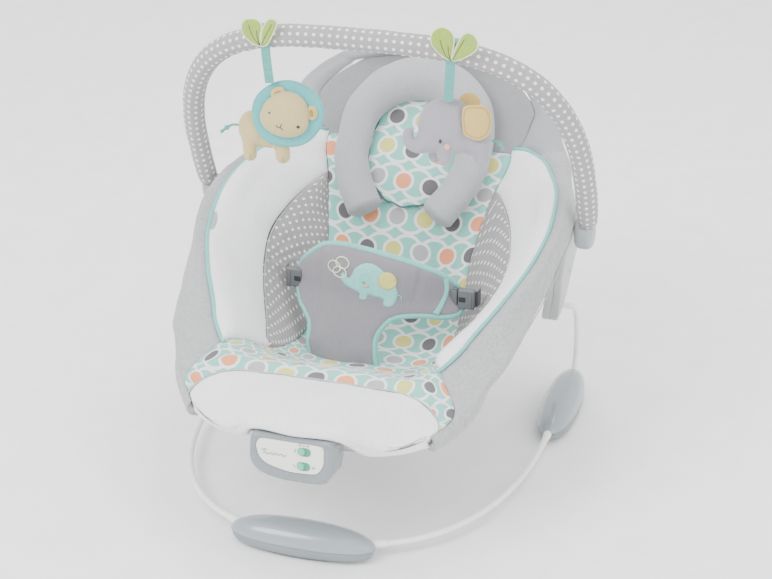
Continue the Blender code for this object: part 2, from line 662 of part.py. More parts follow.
def build_cover():
    """Sewn seat pad: centre panel, wings, foot panel and the rolled rims over the frame."""
    line = rim_line()
    back_stations = [2.62 + k * 0.40 for k in range(23)]
    spans = []
    for s in back_stations:
        edge = SEAM - 0.02 if s < 10.9 else rim_limit(s, 0.2, line)
        spans.append((-edge, edge, 8))
    finish(panel("centre_panel", back_stations, spans), (0.45, 0.72, 0.69), 0.9)

    wing_stations = [2.62 + k * 0.40 for k in range(21)]
    for side, word in SIDES:
        spans = []
        for s in wing_stations:
            low, high = SEAM + 0.02, rim_limit(s, SEAM + 0.1, line)
            spans.append((low, high, 5) if side > 0 else (-high, -low, 5))
        finish(panel(f"{word}_wing", wing_stations, spans), (0.85, 0.85, 0.87), 0.95)

    foot_stations = [k * 0.36 for k in range(8)]
    tube_line = [(p, TUBE_R + 4 * GAP) for p in front_tube_points() if p.x > 0]
    spans = []
    for s in foot_stations:
        edge = rim_limit(s, 0.8, line + tube_line, 2.88, FOOT_PANEL_T)
        spans.append((-edge, edge, 14))
    finish(panel("foot_panel", foot_stations, spans, FOOT_PANEL_T), (0.85, 0.84, 0.87), 0.95)

    grey = (0.60, 0.60, 0.59)
    for side, word in SIDES:
        path, radii = side_rim_path(side)
        finish(sleeve(f"{word}_rim_pad", path, radii, TUBE_R + 0.0020), grey, 0.95)
    over = back_rim_path()
    finish(sleeve("back_rim_pad", over, [RIM_R] * len(over), TUBE_R + 0.0020, 8), grey, 0.95)


def surface_frame(s, lift):
    """A place on the middle of the backrest, with its up-the-back and outward directions."""
    origin = seat_point(s, 0.0)
    up = (seat_point(s + 0.05, 0.0) - seat_point(s - 0.05, 0.0)).normalized()
    out = Vector((1, 0, 0)).cross(up).normalized()
    return origin + lift * out, up, out


def build_head_support():
    """Removable horseshoe head pillow around a thin oval insert."""
    origin, up, out = surface_frame(HEAD_STATION, HEAD_LIFT)
    across = Vector((1, 0, 0))
    route = []
    for k in range(13):
        a = math.radians(15 * k)
        route.append(origin + HEAD_HALF * math.cos(a) * across + HEAD_RISE * math.sin(a) * up)
    right = [origin + u * across + v * up for u, v in HEAD_LEGS]
    left = [origin - u * across + v * up for u, v in HEAD_LEGS]
    route = right[::-1] + route + left
    bm = bmesh.new()
    rows = []
    for i, point in enumerate(route):
        along = (route[min(i + 1, len(route) - 1)] - route[max(i - 1, 0)]).normalized()
        wide = out.cross(along).normalized()
        taper = 0.80 if i in (0, len(route) - 1) else 1.0
        rows.append([bm.verts.new(p) for p in
                     ring(point, (wide, out), HEAD_R * taper, 12, HEAD_SQUASH)])
    for row_a, row_b in zip(rows, rows[1:]):
        for k in range(12):
            j = (k + 1) % 12
            bm.faces.new((row_a[k], row_a[j], row_b[j], row_b[k]))
    bm.faces.new(rows[0][::-1])
    bm.faces.new(rows[-1])
    finish(mesh_object("head_pillow", bm), (0.58, 0.59, 0.60), 0.95)

    centre, up, out = surface_frame(HEAD_STATION - 0.10, INSERT_LIFT)
    levels = []
    for lift, scale in ((-0.0028, 0.96), (0.0, 1.0), (0.0045, 0.90)):
        levels.append([centre + lift * out + scale * (INSERT_HALF * math.cos(a) * across
                                                      + INSERT_RISE * math.sin(a) * up)
                       for a in (2 * math.pi * k / 20 for k in range(20))])
    finish(lofted("head_insert", levels), (0.45, 0.72, 0.69), 0.9)


def build_restraint():
    """Crotch panel with its webbing and the two side-release buckles."""
    bm = bmesh.new()
    top, bottom = [], []
    for y, z, half in RESTRAINT_ROWS:
        line = []
        under = []
        for k in range(9):
            u = -1 + k / 4
            bulge = RESTRAINT_BULGE * u * u * (half / RESTRAINT_HALF)
            line.append(bm.verts.new((half * u, y + bulge, z + 0.2 * bulge)))
            deep = y + bulge + RESTRAINT_T
            under.append(bm.verts.new((half * u, deep, z + 0.2 * bulge - 0.003)))
        top.append(line)
        bottom.append(under)
    for sheet in (top, bottom):
        for row_a, row_b in zip(sheet, sheet[1:]):
            for k in range(8):
                bm.faces.new((row_a[k], row_a[k + 1], row_b[k + 1], row_b[k]))
    edge_top, edge_bottom = border(top), border(bottom)
    for k in range(len(edge_top)):
        j = (k + 1) % len(edge_top)
        bm.faces.new((edge_top[k], edge_bottom[k], edge_bottom[j], edge_top[j]))
    finish(mesh_object("restraint_panel", bm), (0.46, 0.44, 0.45), 0.9)

    black, buckle_grey = (0.03, 0.03, 0.035), (0.13, 0.14, 0.15)
    for side, word in SIDES:
        plug = box(f"{word}_buckle_plug", PLUG_SIZE, (side * PLUG_X, BUCKLE_Y, BUCKLE_Z), 0.0015, 1)
        socket = box(f"{word}_buckle_socket", SOCKET_SIZE, (side * SOCKET_X, BUCKLE_Y, BUCKLE_Z),
                     0.002, 1)
        finish(plug, buckle_grey, 0.4)
        finish(socket, buckle_grey, 0.4)
        strap = box(f"{word}_waist_strap", STRAP_SIZE, (side * STRAP_X, BUCKLE_Y + 0.006, BUCKLE_Z))
        finish(strap, black, 0.8)


# ---------------------------------------------------------------- control unit
# The unit's pieces are made with their front face at Y = 0 and their underside at Z = 0, and are
# then tilted and moved to the middle of the front tube by UNIT_PLACE.

def placed(obj):
    """Move a piece of the unit from its own frame to its place on the seat."""
    obj.data.transform(UNIT_PLACE)
    return obj


def build_unit_shell():
    """Housing with its hollow, the tube's way through it, the face plate and battery door."""
    grey = (0.42, 0.46, 0.47)
    middle = Vector((0, UNIT_D / 2, UNIT_H / 2))
    housing = placed(box("unit_housing", (UNIT_W, UNIT_D, UNIT_H), middle, 0.007, 3))
    inside = (UNIT_W - 2 * UNIT_SIDE, UNIT_D, UNIT_H - UNIT_BEZEL - UNIT_LIP)
    face_z = UNIT_LIP + inside[2] / 2
    cut(housing, placed(box("unit_hollow", inside, (0, middle.y - 2 * UNIT_WALL, face_z))))
    near = [p for p in front_tube_points() if abs(p.x) < 0.12 and p.y < -0.2]
    cut(housing, rod_cutter("unit_tube_bore", near, TUBE_R))
    door = Vector((DOOR_W, DOOR_D, UNIT_LIP - 0.002))
    door_at = Vector((0, DOOR_Y, door.z / 2))
    hole = (door.x + 2 * GAP, door.y + 2 * GAP, 2 * UNIT_LIP + 0.002)
    cut(housing, placed(box("unit_door_hole", hole, (0, door_at.y, 0))))
    finish(housing, grey, 0.28)
    finish(placed(box("battery_door", door, door_at)), grey, 0.32)

    face_size = (inside[0] - 2 * GAP, FACE_T, inside[2] - 2 * GAP)
    face = placed(box("unit_face", face_size, (0, 0.0014, face_z)))
    for name, z in (("music_switch", face_z + SWITCH_DZ), ("vibration_switch", face_z - SWITCH_DZ)):
        cut(face, placed(box(f"{name}_slot", (SLOT_W, 0.01, SLOT_H), (SWITCH_X, 0.0014, z))))
        knob = placed(box(name, KNOB, (SWITCH_X - SWITCH_TRAVEL / 2, 0.0002, z), 0.0015, 1))
        finish(knob, (0.16, 0.55, 0.44), 0.4)
    finish(face, (0.80, 0.80, 0.77), 0.35)


def build_unit_inside():
    """Circuit board, batteries, vibration motor with its weight, and speaker."""
    mid_z = (UNIT_LIP + UNIT_H - UNIT_BEZEL) / 2
    finish(placed(box("circuit_board", (0.066, 0.0016, 0.029), (0, 0.0078, mid_z))),
           (0.05, 0.25, 0.12), 0.5)
    for k in range(2):
        at = (-0.004, DOOR_Y, UNIT_LIP + CELL_Z + k * CELL_PITCH)
        finish(placed(cylinder(f"battery_{k + 1}", CELL_R, CELL_L, at, "X", 14)),
               (0.20, 0.22, 0.24), 0.35, 0.6)
    motor_at = (MOTOR_X, MOTOR_Y, mid_z)
    finish(placed(cylinder("vibration_motor", MOTOR_R, MOTOR_L, motor_at, "Y", 12)),
           (0.65, 0.66, 0.68), 0.3, 0.9)
    speaker_at = (-0.022, 0.0430, UNIT_H - UNIT_BEZEL - 0.0030)
    finish(placed(cylinder("speaker", 0.0100, 0.0045, speaker_at, "Z", 16)),
           (0.08, 0.08, 0.09), 0.6)
    outline = [(MOTOR_X + WEIGHT_R * math.cos(a), mid_z + WEIGHT_R * math.sin(a))
               for a in (math.radians(d) for d in range(180, 361, 30))]
    bm = bmesh.new()
    ends = [[bm.verts.new((x, y, z)) for x, z in outline] for y in WEIGHT_Y]
    for k in range(len(outline)):
        j = (k + 1) % len(outline)
        bm.faces.new((ends[0][k], ends[0][j], ends[1][j], ends[1][k]))
    bm.faces.new(ends[0][::-1])
    bm.faces.new(ends[1])
    finish(placed(mesh_object("motor_weight", bm, smooth=False)), (0.50, 0.42, 0.25), 0.4, 0.9)


# ---------------------------------------------------------------- moving groups

def motor_axis_point():
    """Point of the motor's shaft in the drawing's frame."""
    return UNIT_PLACE @ Vector((MOTOR_X, sum(WEIGHT_Y) / 2, (UNIT_LIP + UNIT_H - UNIT_BEZEL) / 2))


def hang(carrier, names, pivot):
    """Put an empty on a joint's axis and let it carry the pieces that move there."""
    empty = bpy.data.objects.new(carrier, None)
    bpy.context.collection.objects.link(empty)
    empty.location = ORIGIN_SHIFT + pivot
    for name in names:
        piece = bpy.data.objects[name]
        piece.parent = empty
        piece.location = -pivot


def group_pieces():
    """Carry every piece on its group's empty; whatever doesn't move alone rides on the seat."""
    hang("toy_bar_axis", ("toy_bar", "toy_bar_sleeve", "left_bar_knuckle", "right_bar_knuckle",
                          "left_knuckle_bore", "right_knuckle_bore", "lion_leaf",
                          "elephant_leaf"), BAR_PIVOT)
    for word, x in (("lion", LION_X), ("elephant", ELEPHANT_X)):
        hang(f"{word}_axis", (f"{word}_strap", f"{word}_head", f"{word}_body"), bar_place(x))
    for names in (("music_switch",), ("vibration_switch",), ("battery_door",),
                  ("left_buckle_socket", "left_waist_strap"),
                  ("right_buckle_socket", "right_waist_strap")):
        corner = Vector(bpy.data.objects[names[0]].bound_box[0])
        hang(f"{names[0]}_axis", names, corner)
    hang("motor_axis", ("motor_weight",), motor_axis_point())
    loose = [obj for obj in bpy.data.objects if obj.type != "EMPTY" and obj.parent is None]
    base = [obj.name for obj in loose if "wire" in obj.name or "_foot_" in obj.name]
    hang("base_origin", base, Vector((0.0, 0.0, 0.0)))
    hang("seat_axis", [obj.name for obj in loose if obj.name not in base], PIVOT)


def main():
    """Build the whole bouncer seat."""
    clear_scene()
    build_base()
    build_feet()
    build_frame()
    build_toy_bar()
    build_toys()
    build_cover()
    build_head_support()
    build_restraint()
    build_unit_shell()
    build_unit_inside()
    group_pieces()


main()
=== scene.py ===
"""Looks of the bouncer seat: sewn cover, padded pieces, toys, mouldings and their materials.

Shapes are drawn in the same drawing frame as the part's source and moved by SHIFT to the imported
frame, so a piece lies where its solid does.  Lengths are in metres.
"""
import math

import bmesh
import bpy
import numpy as np
from mathutils import Matrix, Vector, noise


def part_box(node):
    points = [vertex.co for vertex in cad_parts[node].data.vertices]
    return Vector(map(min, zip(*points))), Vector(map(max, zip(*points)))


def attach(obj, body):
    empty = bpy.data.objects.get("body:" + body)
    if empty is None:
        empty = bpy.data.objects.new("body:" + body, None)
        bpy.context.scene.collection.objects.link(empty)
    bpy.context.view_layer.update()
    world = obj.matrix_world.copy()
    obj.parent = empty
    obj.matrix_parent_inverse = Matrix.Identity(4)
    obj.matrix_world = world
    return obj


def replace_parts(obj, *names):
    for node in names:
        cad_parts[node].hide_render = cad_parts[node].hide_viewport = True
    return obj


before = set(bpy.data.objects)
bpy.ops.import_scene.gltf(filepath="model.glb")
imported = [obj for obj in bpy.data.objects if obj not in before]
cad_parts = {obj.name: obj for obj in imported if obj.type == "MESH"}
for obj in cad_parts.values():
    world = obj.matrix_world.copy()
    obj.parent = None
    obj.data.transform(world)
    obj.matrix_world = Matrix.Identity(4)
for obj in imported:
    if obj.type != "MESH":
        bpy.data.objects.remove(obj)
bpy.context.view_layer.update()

# Driving dimensions, the same as the frame's
LOOP_A, LOOP_B, LOOP_EXP, LOOP_FRONT, LOOP_END_Y = 0.206, 0.310, 2.495, -0.285, 0.088
WIRE_R, WIRE_Z = 0.0036, 0.0155
PIVOT = Vector((0.0, 0.153, 0.117))
FOOT_L, FOOT_W, FOOT_TOP, PAD_H, SIDE_FOOT_Y = 0.164, 0.046, 0.034, 0.0050, 0.090
HUB_LEAN, HUB_X, HUB_OUT, HUB_IN, HUB_TOP_Z, HUB_R = 0.18, 0.180, 0.010, 0.010, 0.264, 0.021
BAR_HALF, BAR_HEIGHT, BAR_EXP, BAR_LEAN = 0.233, 0.250, 3.3, math.radians(24.7)
BAR_FOOT = Vector((0.0, 0.055, 0.274))
SLEEVE_R = 0.0130
SECTIONS = np.array((
    ((0.0, -0.308, 0.165), (0.046, -0.302, 0.163), (0.092, -0.282, 0.139), (0.132, -0.260, 0.146)),
    ((0.0, -0.258, 0.172), (0.070, -0.252, 0.166), (0.115, -0.243, 0.158), (0.157, -0.228, 0.159)),
    ((0.0, -0.207, 0.170), (0.080, -0.209, 0.172), (0.130, -0.205, 0.180), (0.172, -0.200, 0.178)),
    ((0.0, -0.150, 0.150), (0.085, -0.155, 0.158), (0.146, -0.155, 0.205), (0.192, -0.160, 0.196)),
    ((0.0, -0.080, 0.113), (0.088, -0.085, 0.128), (0.171, -0.110, 0.233), (0.203, -0.105, 0.217)),
    ((0.0, -0.010, 0.104), (0.089, -0.012, 0.120), (0.190, -0.062, 0.256), (0.211, -0.058, 0.237)),
    ((0.0, 0.045, 0.132), (0.090, 0.040, 0.146), (0.199, -0.010, 0.274), (0.217, -0.010, 0.260)),
    ((0.0, 0.078, 0.185), (0.091, 0.075, 0.192), (0.198, 0.035, 0.287), (0.217, 0.045, 0.271)),
    ((0.0, 0.103, 0.235), (0.099, 0.105, 0.238), (0.190, 0.082, 0.296), (0.212, 0.085, 0.280)),
    ((0.0, 0.133, 0.270), (0.108, 0.133, 0.270), (0.170, 0.130, 0.305), (0.194, 0.135, 0.300)),
    ((0.0, 0.165, 0.305), (0.117, 0.165, 0.304), (0.150, 0.168, 0.318), (0.178, 0.168, 0.320)),
    ((0.0, 0.208, 0.356), (0.090, 0.208, 0.356), (0.130, 0.204, 0.358), (0.157, 0.203, 0.360)),
    ((0.0, 0.240, 0.395), (0.050, 0.239, 0.393), (0.085, 0.234, 0.390), (0.110, 0.231, 0.394)),
))
TUBE_HALF = ((0.168, -0.193, 0.163), (0.143, -0.236, 0.143), (0.108, -0.258, 0.135),
             (0.060, -0.270, 0.130))
FRONT_TUBE = (*((-x, y, z) for x, y, z in TUBE_HALF), (0.0, -0.274, 0.129), *TUBE_HALF[::-1])
UNIT_W, UNIT_H = 0.090, 0.048
UNIT_BEZEL, UNIT_SIDE, UNIT_LIP = 0.0045, 0.0075, 0.0105
SWITCH_X, SWITCH_DZ, SWITCH_TRAVEL = 0.016, 0.0078, 0.0055
UNIT_PLACE = Matrix.Translation((0, -0.3255, 0.1095)) @ Matrix.Rotation(math.radians(-12), 4, "X")
SIDES = ((1, "right"), (-1, "left"))

foot_low, foot_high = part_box("front_foot_pad")
SHIFT = Vector((0.0, (foot_low.y + foot_high.y) / 2 - LOOP_FRONT, 0.0))


# ------------------------------------------------------------------ materials

class Shader:
    """One Principled material, built node by node."""

    def __init__(self, name, **sockets):
        self.material = bpy.data.materials.new(name)
        self.material.use_nodes = True
        self.tree = self.material.node_tree
        self.bsdf = self.tree.nodes["Principled BSDF"]
        for key, value in sockets.items():
            self.bsdf.inputs[key.replace("_", " ")].default_value = value

    def node(self, kind, inputs=None, **settings):
        """A node with its settings and its inputs, which are numbers or other nodes' outputs."""
        made = self.tree.nodes.new("ShaderNode" + kind)
        for key, value in settings.items():
            setattr(made, key, value)
        for key, value in (inputs or {}).items():
            self.plug(value, made.inputs[key])
        return made

    def plug(self, value, socket):
        if isinstance(value, bpy.types.NodeSocket):
            self.tree.links.new(value, socket)
        else:
            socket.default_value = value

    def math(self, operation, *values):
        made = self.node("Math", operation=operation)
        for k, value in enumerate(values):
            self.plug(value, made.inputs[k])
        return made.outputs[0]

    def where(self, low, value, high):
        """1 where value is between low and high."""
        return self.math("MULTIPLY", self.math("GREATER_THAN", value, low),
                         self.math("LESS_THAN", value, high))

    def mix(self, factor, first, second):
        made = self.node("Mix", data_type="RGBA")
        self.plug(factor, made.inputs[0])
        self.plug(first, made.inputs[6])
        self.plug(second, made.inputs[7])
        return made.outputs[2]

    def coordinates(self, kind="Object", scale=(1, 1, 1), turn=0.0):
        source = self.node("TexCoord").outputs[kind]
        if tuple(scale) == (1, 1, 1) and not turn:
            return source
        mapping = self.node("Mapping", {"Vector": source, "Scale": scale,
                                        "Rotation": (0.0, 0.0, turn)})
        return mapping.outputs[0]

    def noise(self, scale, detail=3.0, vector=None, roughness=0.6):
        made = self.node("TexNoise", {"Scale": scale, "Detail": detail, "Roughness": roughness})
        self.plug(vector if vector is not None else self.coordinates(), made.inputs["Vector"])
        return made.outputs["Fac"]

    def remap(self, value, low, high, new_low, new_high):
        made = self.node("MapRange", {"Value": value, "From Min": low, "From Max": high,
                                      "To Min": new_low, "To Max": new_high})
        return made.outputs[0]

    def bump(self, height, distance, strength=1.0, below=None):
        made = self.node("Bump", {"Height": height, "Distance": distance, "Strength": strength})
        if below is not None:
            self.plug(below, made.inputs["Normal"])
        return made.outputs[0]

    def finish(self, colour=None, normal=None, roughness=None):
        for value, name in ((colour, "Base Color"), (normal, "Normal"), (roughness, "Roughness")):
            if value is not None:
                self.plug(value, self.bsdf.inputs[name])
        return self.material


def rgb(red, green, blue):
    """Linear colour of an 8-bit screen colour."""
    linear = [(v / 255 / 12.92) if v <= 10 else ((v / 255 + 0.055) / 1.055) ** 2.4
              for v in (red, green, blue)]
    return (*linear, 1.0)


def darker(colour, share):
    return (*(c * share for c in colour[:3]), 1.0)


NAP = (1, 1, 0.45)                    # share of detail along each axis, lowest along the pile


def pile(shader, scale, depth):
    """Normal of a brushed pile: soft clumps with fine fibres on them."""
    clumps = shader.noise(scale, 3.0, shader.coordinates("Object", NAP))
    fibres = shader.noise(scale * 5, 2.0, shader.coordinates("Object", NAP))
    normal = shader.bump(clumps, depth)
    return shader.bump(fibres, depth * 0.35, 0.8, normal)


def plush(name, colour, scale, depth, shade, sheen):
    """Soft brushed fabric: velour, plush or jersey with a nap."""
    shader = Shader(name, Roughness=0.92, Sheen_Weight=sheen, Sheen_Roughness=0.5,
                    Specular_IOR_Level=0.2)
    vector = shader.coordinates("Object", NAP)
    fine = shader.remap(shader.noise(scale * 1.6, 4.0, vector), 0.34, 0.66, 0.0, 1.0)
    broad = shader.remap(shader.noise(22.0, 3.0), 0.3, 0.7, 0.0, 1.0)
    base = shader.mix(fine, darker(colour, shade), colour)
    worn = shader.mix(broad, darker(colour, 0.94), darker(colour, 1.03))
    made = shader.node("Mix", data_type="RGBA", blend_type="MULTIPLY")
    shader.plug(0.5, made.inputs[0])
    shader.plug(base, made.inputs[6])
    shader.plug(shader.mix(broad, (0.93, 0.93, 0.93, 1), (1, 1, 1, 1)), made.inputs[7])
    colour_out = shader.mix(0.25, made.outputs[2], worn)
    return shader.finish(colour_out, pile(shader, scale, depth))


def heather(name, light, dark):
    """Melange jersey: long light and dark fibres in a fine knit."""
    shader = Shader(name, Roughness=0.93, Sheen_Weight=0.35, Specular_IOR_Level=0.2)
    long_way = shader.coordinates("Object", (1.0, 1.0, 0.22))
    fibres = shader.remap(shader.noise(420.0, 5.0, long_way, 0.7), 0.36, 0.62, 0.0, 1.0)
    patches = shader.noise(60.0, 3.0)
    melange = shader.mix(fibres, dark, light)
    colour = shader.mix(shader.remap(patches, 0.35, 0.7, 0.0, 0.35), melange, light)
    knit = shader.node("TexWave", {"Scale": 330.0, "Distortion": 1.6, "Detail": 2.0,
                                   "Vector": shader.coordinates()}, bands_direction="DIAGONAL")
    normal = shader.bump(knit.outputs["Fac"], 0.00025, 0.6)
    return shader.finish(colour, shader.bump(fibres, 0.0005, 0.8, normal))


def weave_normal(shader, vector, pitch, depth):
    """Normal of a plain weave whose threads are one pitch apart in a vector's first two axes."""
    parts = shader.node("SeparateXYZ", {"Vector": vector})
    waves = [shader.math("SINE", shader.math("MULTIPLY", parts.outputs[k], 2 * math.pi / pitch))
             for k in (0, 1)]
    height = shader.math("MULTIPLY", waves[0], waves[1])
    return shader.bump(height, depth, 0.7)


def twill(name, colour, pitch, sheen=0.25):
    """Closely woven cotton or polyester."""
    shader = Shader(name, Roughness=0.85, Sheen_Weight=sheen, Specular_IOR_Level=0.25)
    vector = shader.coordinates()
    slub = shader.noise(900.0, 3.0, shader.coordinates("Object", (1, 0.15, 0.15)))
    broad = shader.noise(35.0, 3.0)
    base = shader.mix(shader.remap(slub, 0.35, 0.65, 0.0, 1.0), darker(colour, 0.88), colour)
    colour_out = shader.mix(shader.remap(broad, 0.35, 0.7, 0.0, 0.4), base,
                            darker(colour, 1.05))
    normal = weave_normal(shader, vector, pitch, 0.00022)
    creases = shader.noise(120.0, 2.0)
    return shader.finish(colour_out, shader.bump(creases, 0.0006, 0.5, normal))


def lattice(shader, pitch_u, pitch_v, turn=0.0):
    """Cell numbers and places in the cell, -0.5 to 0.5, of a lattice in the piece's UV map."""
    parts = shader.node("SeparateXYZ", {"Vector": shader.coordinates("UV", turn=turn)})
    found = []
    for k, pitch in ((0, pitch_u), (1, pitch_v)):
        place = shader.math("DIVIDE", parts.outputs[k], pitch)
        cell = shader.math("FLOOR", shader.math("ADD", place, 0.5))
        found += [cell, shader.math("SUBTRACT", place, cell)]
    return found


def length_of(shader, a, b):
    return shader.math("SQRT", shader.math("ADD", shader.math("MULTIPLY", a, a),
                                           shader.math("MULTIPLY", b, b)))


def dotted(name, ground, dot, pitch=0.0090, radius=0.20, turn=0.0):
    """Cotton printed with small dots on a square lattice."""
    shader = Shader(name, Roughness=0.88, Sheen_Weight=0.25, Specular_IOR_Level=0.2)
    _, du, _, dv = lattice(shader, pitch, pitch, turn)
    ragged = shader.remap(shader.noise(1500.0, 2.0), 0.3, 0.7, -0.02, 0.02)
    reach = shader.math("ADD", length_of(shader, du, dv), ragged)
    inside = shader.remap(reach, radius - 0.03, radius + 0.03, 1.0, 0.0)
    threads = shader.noise(900.0, 3.0, shader.coordinates("UV", (1, 0.2, 1)))
    cloth = shader.mix(shader.remap(threads, 0.35, 0.65, 0.0, 1.0), darker(ground, 0.86), ground)
    colour = shader.mix(inside, cloth, dot)
    normal = weave_normal(shader, shader.coordinates("UV"), 0.0011, 0.0002)
    folds = shader.noise(150.0, 2.0)
    return shader.finish(colour, shader.bump(folds, 0.0007, 0.5, normal))


PRINT_SHIFT = (0.0072, 0.0611)
PRINT_PITCH, PRINT_ROW = 0.0340, 1.16
RING_IN, RING_OUT, DOT_R, DOT_RING = 0.475, 0.595, 0.285, 0.385


def printed(name, turn=0.0):
    """Knit printed with interlocking white rings and coloured dots on an aqua ground."""
    shader = Shader(name, Roughness=0.86, Sheen_Weight=0.25, Specular_IOR_Level=0.25)
    column, du, row, dv = lattice(shader, PRINT_PITCH, PRINT_PITCH * PRINT_ROW, turn)
    dv = shader.math("MULTIPLY", dv, PRINT_ROW)
    near = shader.math("SUBTRACT", 0.5, shader.math("ABSOLUTE", du))
    far = shader.math("SUBTRACT", 1.0, near)
    rings = [shader.where(RING_IN, length_of(shader, side, dv), RING_OUT) for side in (near, far)]
    dot = length_of(shader, du, dv)
    white = shader.math("MAXIMUM", shader.math("MAXIMUM", *rings),
                        shader.math("LESS_THAN", dot, DOT_RING))
    odd = shader.math("FLOORED_MODULO", row, 2.0)
    number = shader.math("FLOORED_MODULO", shader.math("ADD", shader.math("ADD", column, row),
                                                       odd), 4.0)
    swap = shader.math("SUBTRACT", 1.0, shader.math(
        "MULTIPLY", shader.math("FLOORED_MODULO", number, 2.0), 2.0))
    number = shader.math("ADD", number, shader.math("MULTIPLY", odd, swap))
    ramp = shader.node("ValToRGB", {"Fac": shader.math("DIVIDE", shader.math("ADD", number, 0.1),
                                                       4.0)})
    ramp.color_ramp.interpolation = "CONSTANT"
    inks = (rgb(104, 102, 106), rgb(238, 157, 114), rgb(176, 176, 178), rgb(218, 214, 124))
    for _ in range(2):
        ramp.color_ramp.elements.new(0.5)
    for k, ink in enumerate(inks):
        ramp.color_ramp.elements[k].position = k / 4
        ramp.color_ramp.elements[k].color = ink
    threads = shader.noise(1000.0, 3.0)
    shade = shader.remap(threads, 0.35, 0.65, 0.0, 1.0)
    aqua = rgb(140, 212, 199)
    ground = shader.mix(shade, darker(aqua, 0.90), aqua)
    with_rings = shader.mix(white, ground, rgb(243, 241, 242))
    colour = shader.mix(shader.math("LESS_THAN", dot, DOT_R), with_rings, ramp.outputs[0])
    normal = weave_normal(shader, shader.coordinates("UV"), 0.0012, 0.0002)
    folds = shader.noise(90.0, 3.0)
    return shader.finish(colour, shader.bump(folds, 0.0010, 0.5, normal))


def plastic(name, colour, roughness, coat=0.0, grain=0.00004):
    """Moulded plastic with a fine grain, faint flow marks and handling wear."""
    shader = Shader(name, Coat_Weight=coat, Coat_Roughness=0.08)
    flow = shader.noise(18.0, 4.0)
    marks = shader.noise(420.0, 4.0)
    colour_out = shader.mix(shader.remap(flow, 0.35, 0.65, 0.0, 1.0), darker(colour, 0.95), colour)
    rough = shader.remap(shader.noise(55.0, 4.0), 0.3, 0.7, roughness * 0.85, roughness * 1.2)
    return shader.finish(colour_out, shader.bump(marks, grain, 0.6), rough)


def metal(name, colour, roughness):
    """Drawn metal with marks along its length."""
    shader = Shader(name, Metallic=0.9)
    marks = shader.noise(500.0, 4.0, shader.coordinates("Object", (1.0, 0.1, 0.1)))
    rough = shader.remap(marks, 0.3, 0.7, roughness * 0.8, roughness * 1.3)
    colour_out = shader.mix(marks, darker(colour, 0.8), colour)
    return shader.finish(colour_out, shader.bump(marks, 0.00005, 0.5), rough)


def webbing(name, colour):
    """Narrow woven strap with a ribbed face; the low points of its weave carry painted shade."""
    shader = Shader(name, Roughness=0.7, Sheen_Weight=0.3)
    parts = shader.node("SeparateXYZ", {"Vector": shader.coordinates("UV")})
    along = shader.math("SINE", shader.math("MULTIPLY", parts.outputs[1], 2 * math.pi / 0.0016))
    across = shader.math("SINE", shader.math("MULTIPLY", parts.outputs[0], 2 * math.pi / 0.0021))
    height = shader.math("MULTIPLY", along, across)
    # painted shade: the weave's low points are darkened as if in shadow
    colour_out = shader.mix(shader.remap(height, -1.0, 1.0, 0.0, 1.0), darker(colour, 0.6), colour)
    return shader.finish(colour_out, shader.bump(height, 0.0003, 0.8))


WHITE_PLUSH = plush("white_plush", rgb(246, 246, 249), 300.0, 0.0012, 0.93, 0.35)
APRON_PLUSH = plush("apron_plush", rgb(247, 247, 251), 240.0, 0.0018, 0.90, 0.4)
PILLOW_VELOUR = plush("pillow_velour", rgb(170, 171, 175), 340.0, 0.0009, 0.86, 0.35)
TOP_VELOUR = plush("top_velour", rgb(160, 162, 166), 420.0, 0.0006, 0.90, 0.3)
TRI_SATIN = twill("dark_grey_cloth", rgb(150, 151, 154), 0.0010)
HEATHER = heather("heather_jersey", rgb(181, 182, 184), rgb(156, 157, 160))
UNDER_CLOTH = twill("under_cloth", rgb(160, 161, 164), 0.0014)
PRINT = printed("ring_print")
INSERT_PRINT = printed("ring_print_insert", 0.12)
POLKA = dotted("dotted_inset", rgb(157, 154, 154), rgb(238, 238, 240), 0.0092, 0.19, 0.62)
SLEEVE = dotted("dotted_sleeve", rgb(166, 162, 163), rgb(244, 243, 246), 0.0090, 0.215)
TEAL = twill("teal_binding", rgb(125, 203, 195), 0.0009)
DARK_TEAL = twill("dark_teal_cord", rgb(74, 122, 120), 0.0008)
RESTRAINT = twill("restraint_twill", rgb(141, 138, 145), 0.0010)
RIBBON = twill("teal_ribbon", rgb(88, 168, 161), 0.0007, sheen=0.6)
STITCH = twill("stitch_thread", rgb(205, 206, 210), 0.0005)
DARK_STITCH = twill("dark_thread", rgb(70, 66, 64), 0.0005)
LEAF = twill("leaf_felt", rgb(154, 184, 76), 0.0012, sheen=0.5)
LEAF_EDGE = twill("leaf_edge", rgb(235, 238, 208), 0.0010)
MANE = plush("mane_velour", rgb(98, 182, 184), 420.0, 0.0007, 0.86, 0.5)
TAN = plush("tan_velour", rgb(199, 182, 130), 420.0, 0.0006, 0.90, 0.45)
LILAC = plush("lilac_velour", rgb(156, 153, 162), 420.0, 0.0006, 0.90, 0.45)
EAR_TAN = plush("ear_velour", rgb(206, 178, 108), 420.0, 0.0005, 0.88, 0.45)
PEACH = twill("peach_patch", rgb(232, 186, 160), 0.0006)
BLACK_WEB = webbing("black_webbing", rgb(52, 52, 56))
BUCKLE = plastic("buckle_plastic", rgb(96, 98, 101), 0.38)
HUB_GREY = plastic("hub_plastic", rgb(176, 178, 178), 0.38)
KNUCKLE_GREY = plastic("knuckle_plastic", rgb(160, 167, 168), 0.32)
FOOT_GREY = plastic("foot_plastic", rgb(146, 155, 160), 0.22, 0.6)
FOOT_BASE = plastic("foot_base_plastic", rgb(130, 138, 142), 0.35)
RUBBER = plastic("rubber", rgb(120, 124, 126), 0.75, grain=0.0002)
WIRE_WHITE = plastic("white_coated_wire", rgb(246, 246, 243), 0.28, 0.3)
UNIT_GREY = plastic("unit_plastic", rgb(128, 136, 140), 0.26, 0.3)
FACE_WHITE = plastic("face_plastic", rgb(236, 236, 229), 0.34)
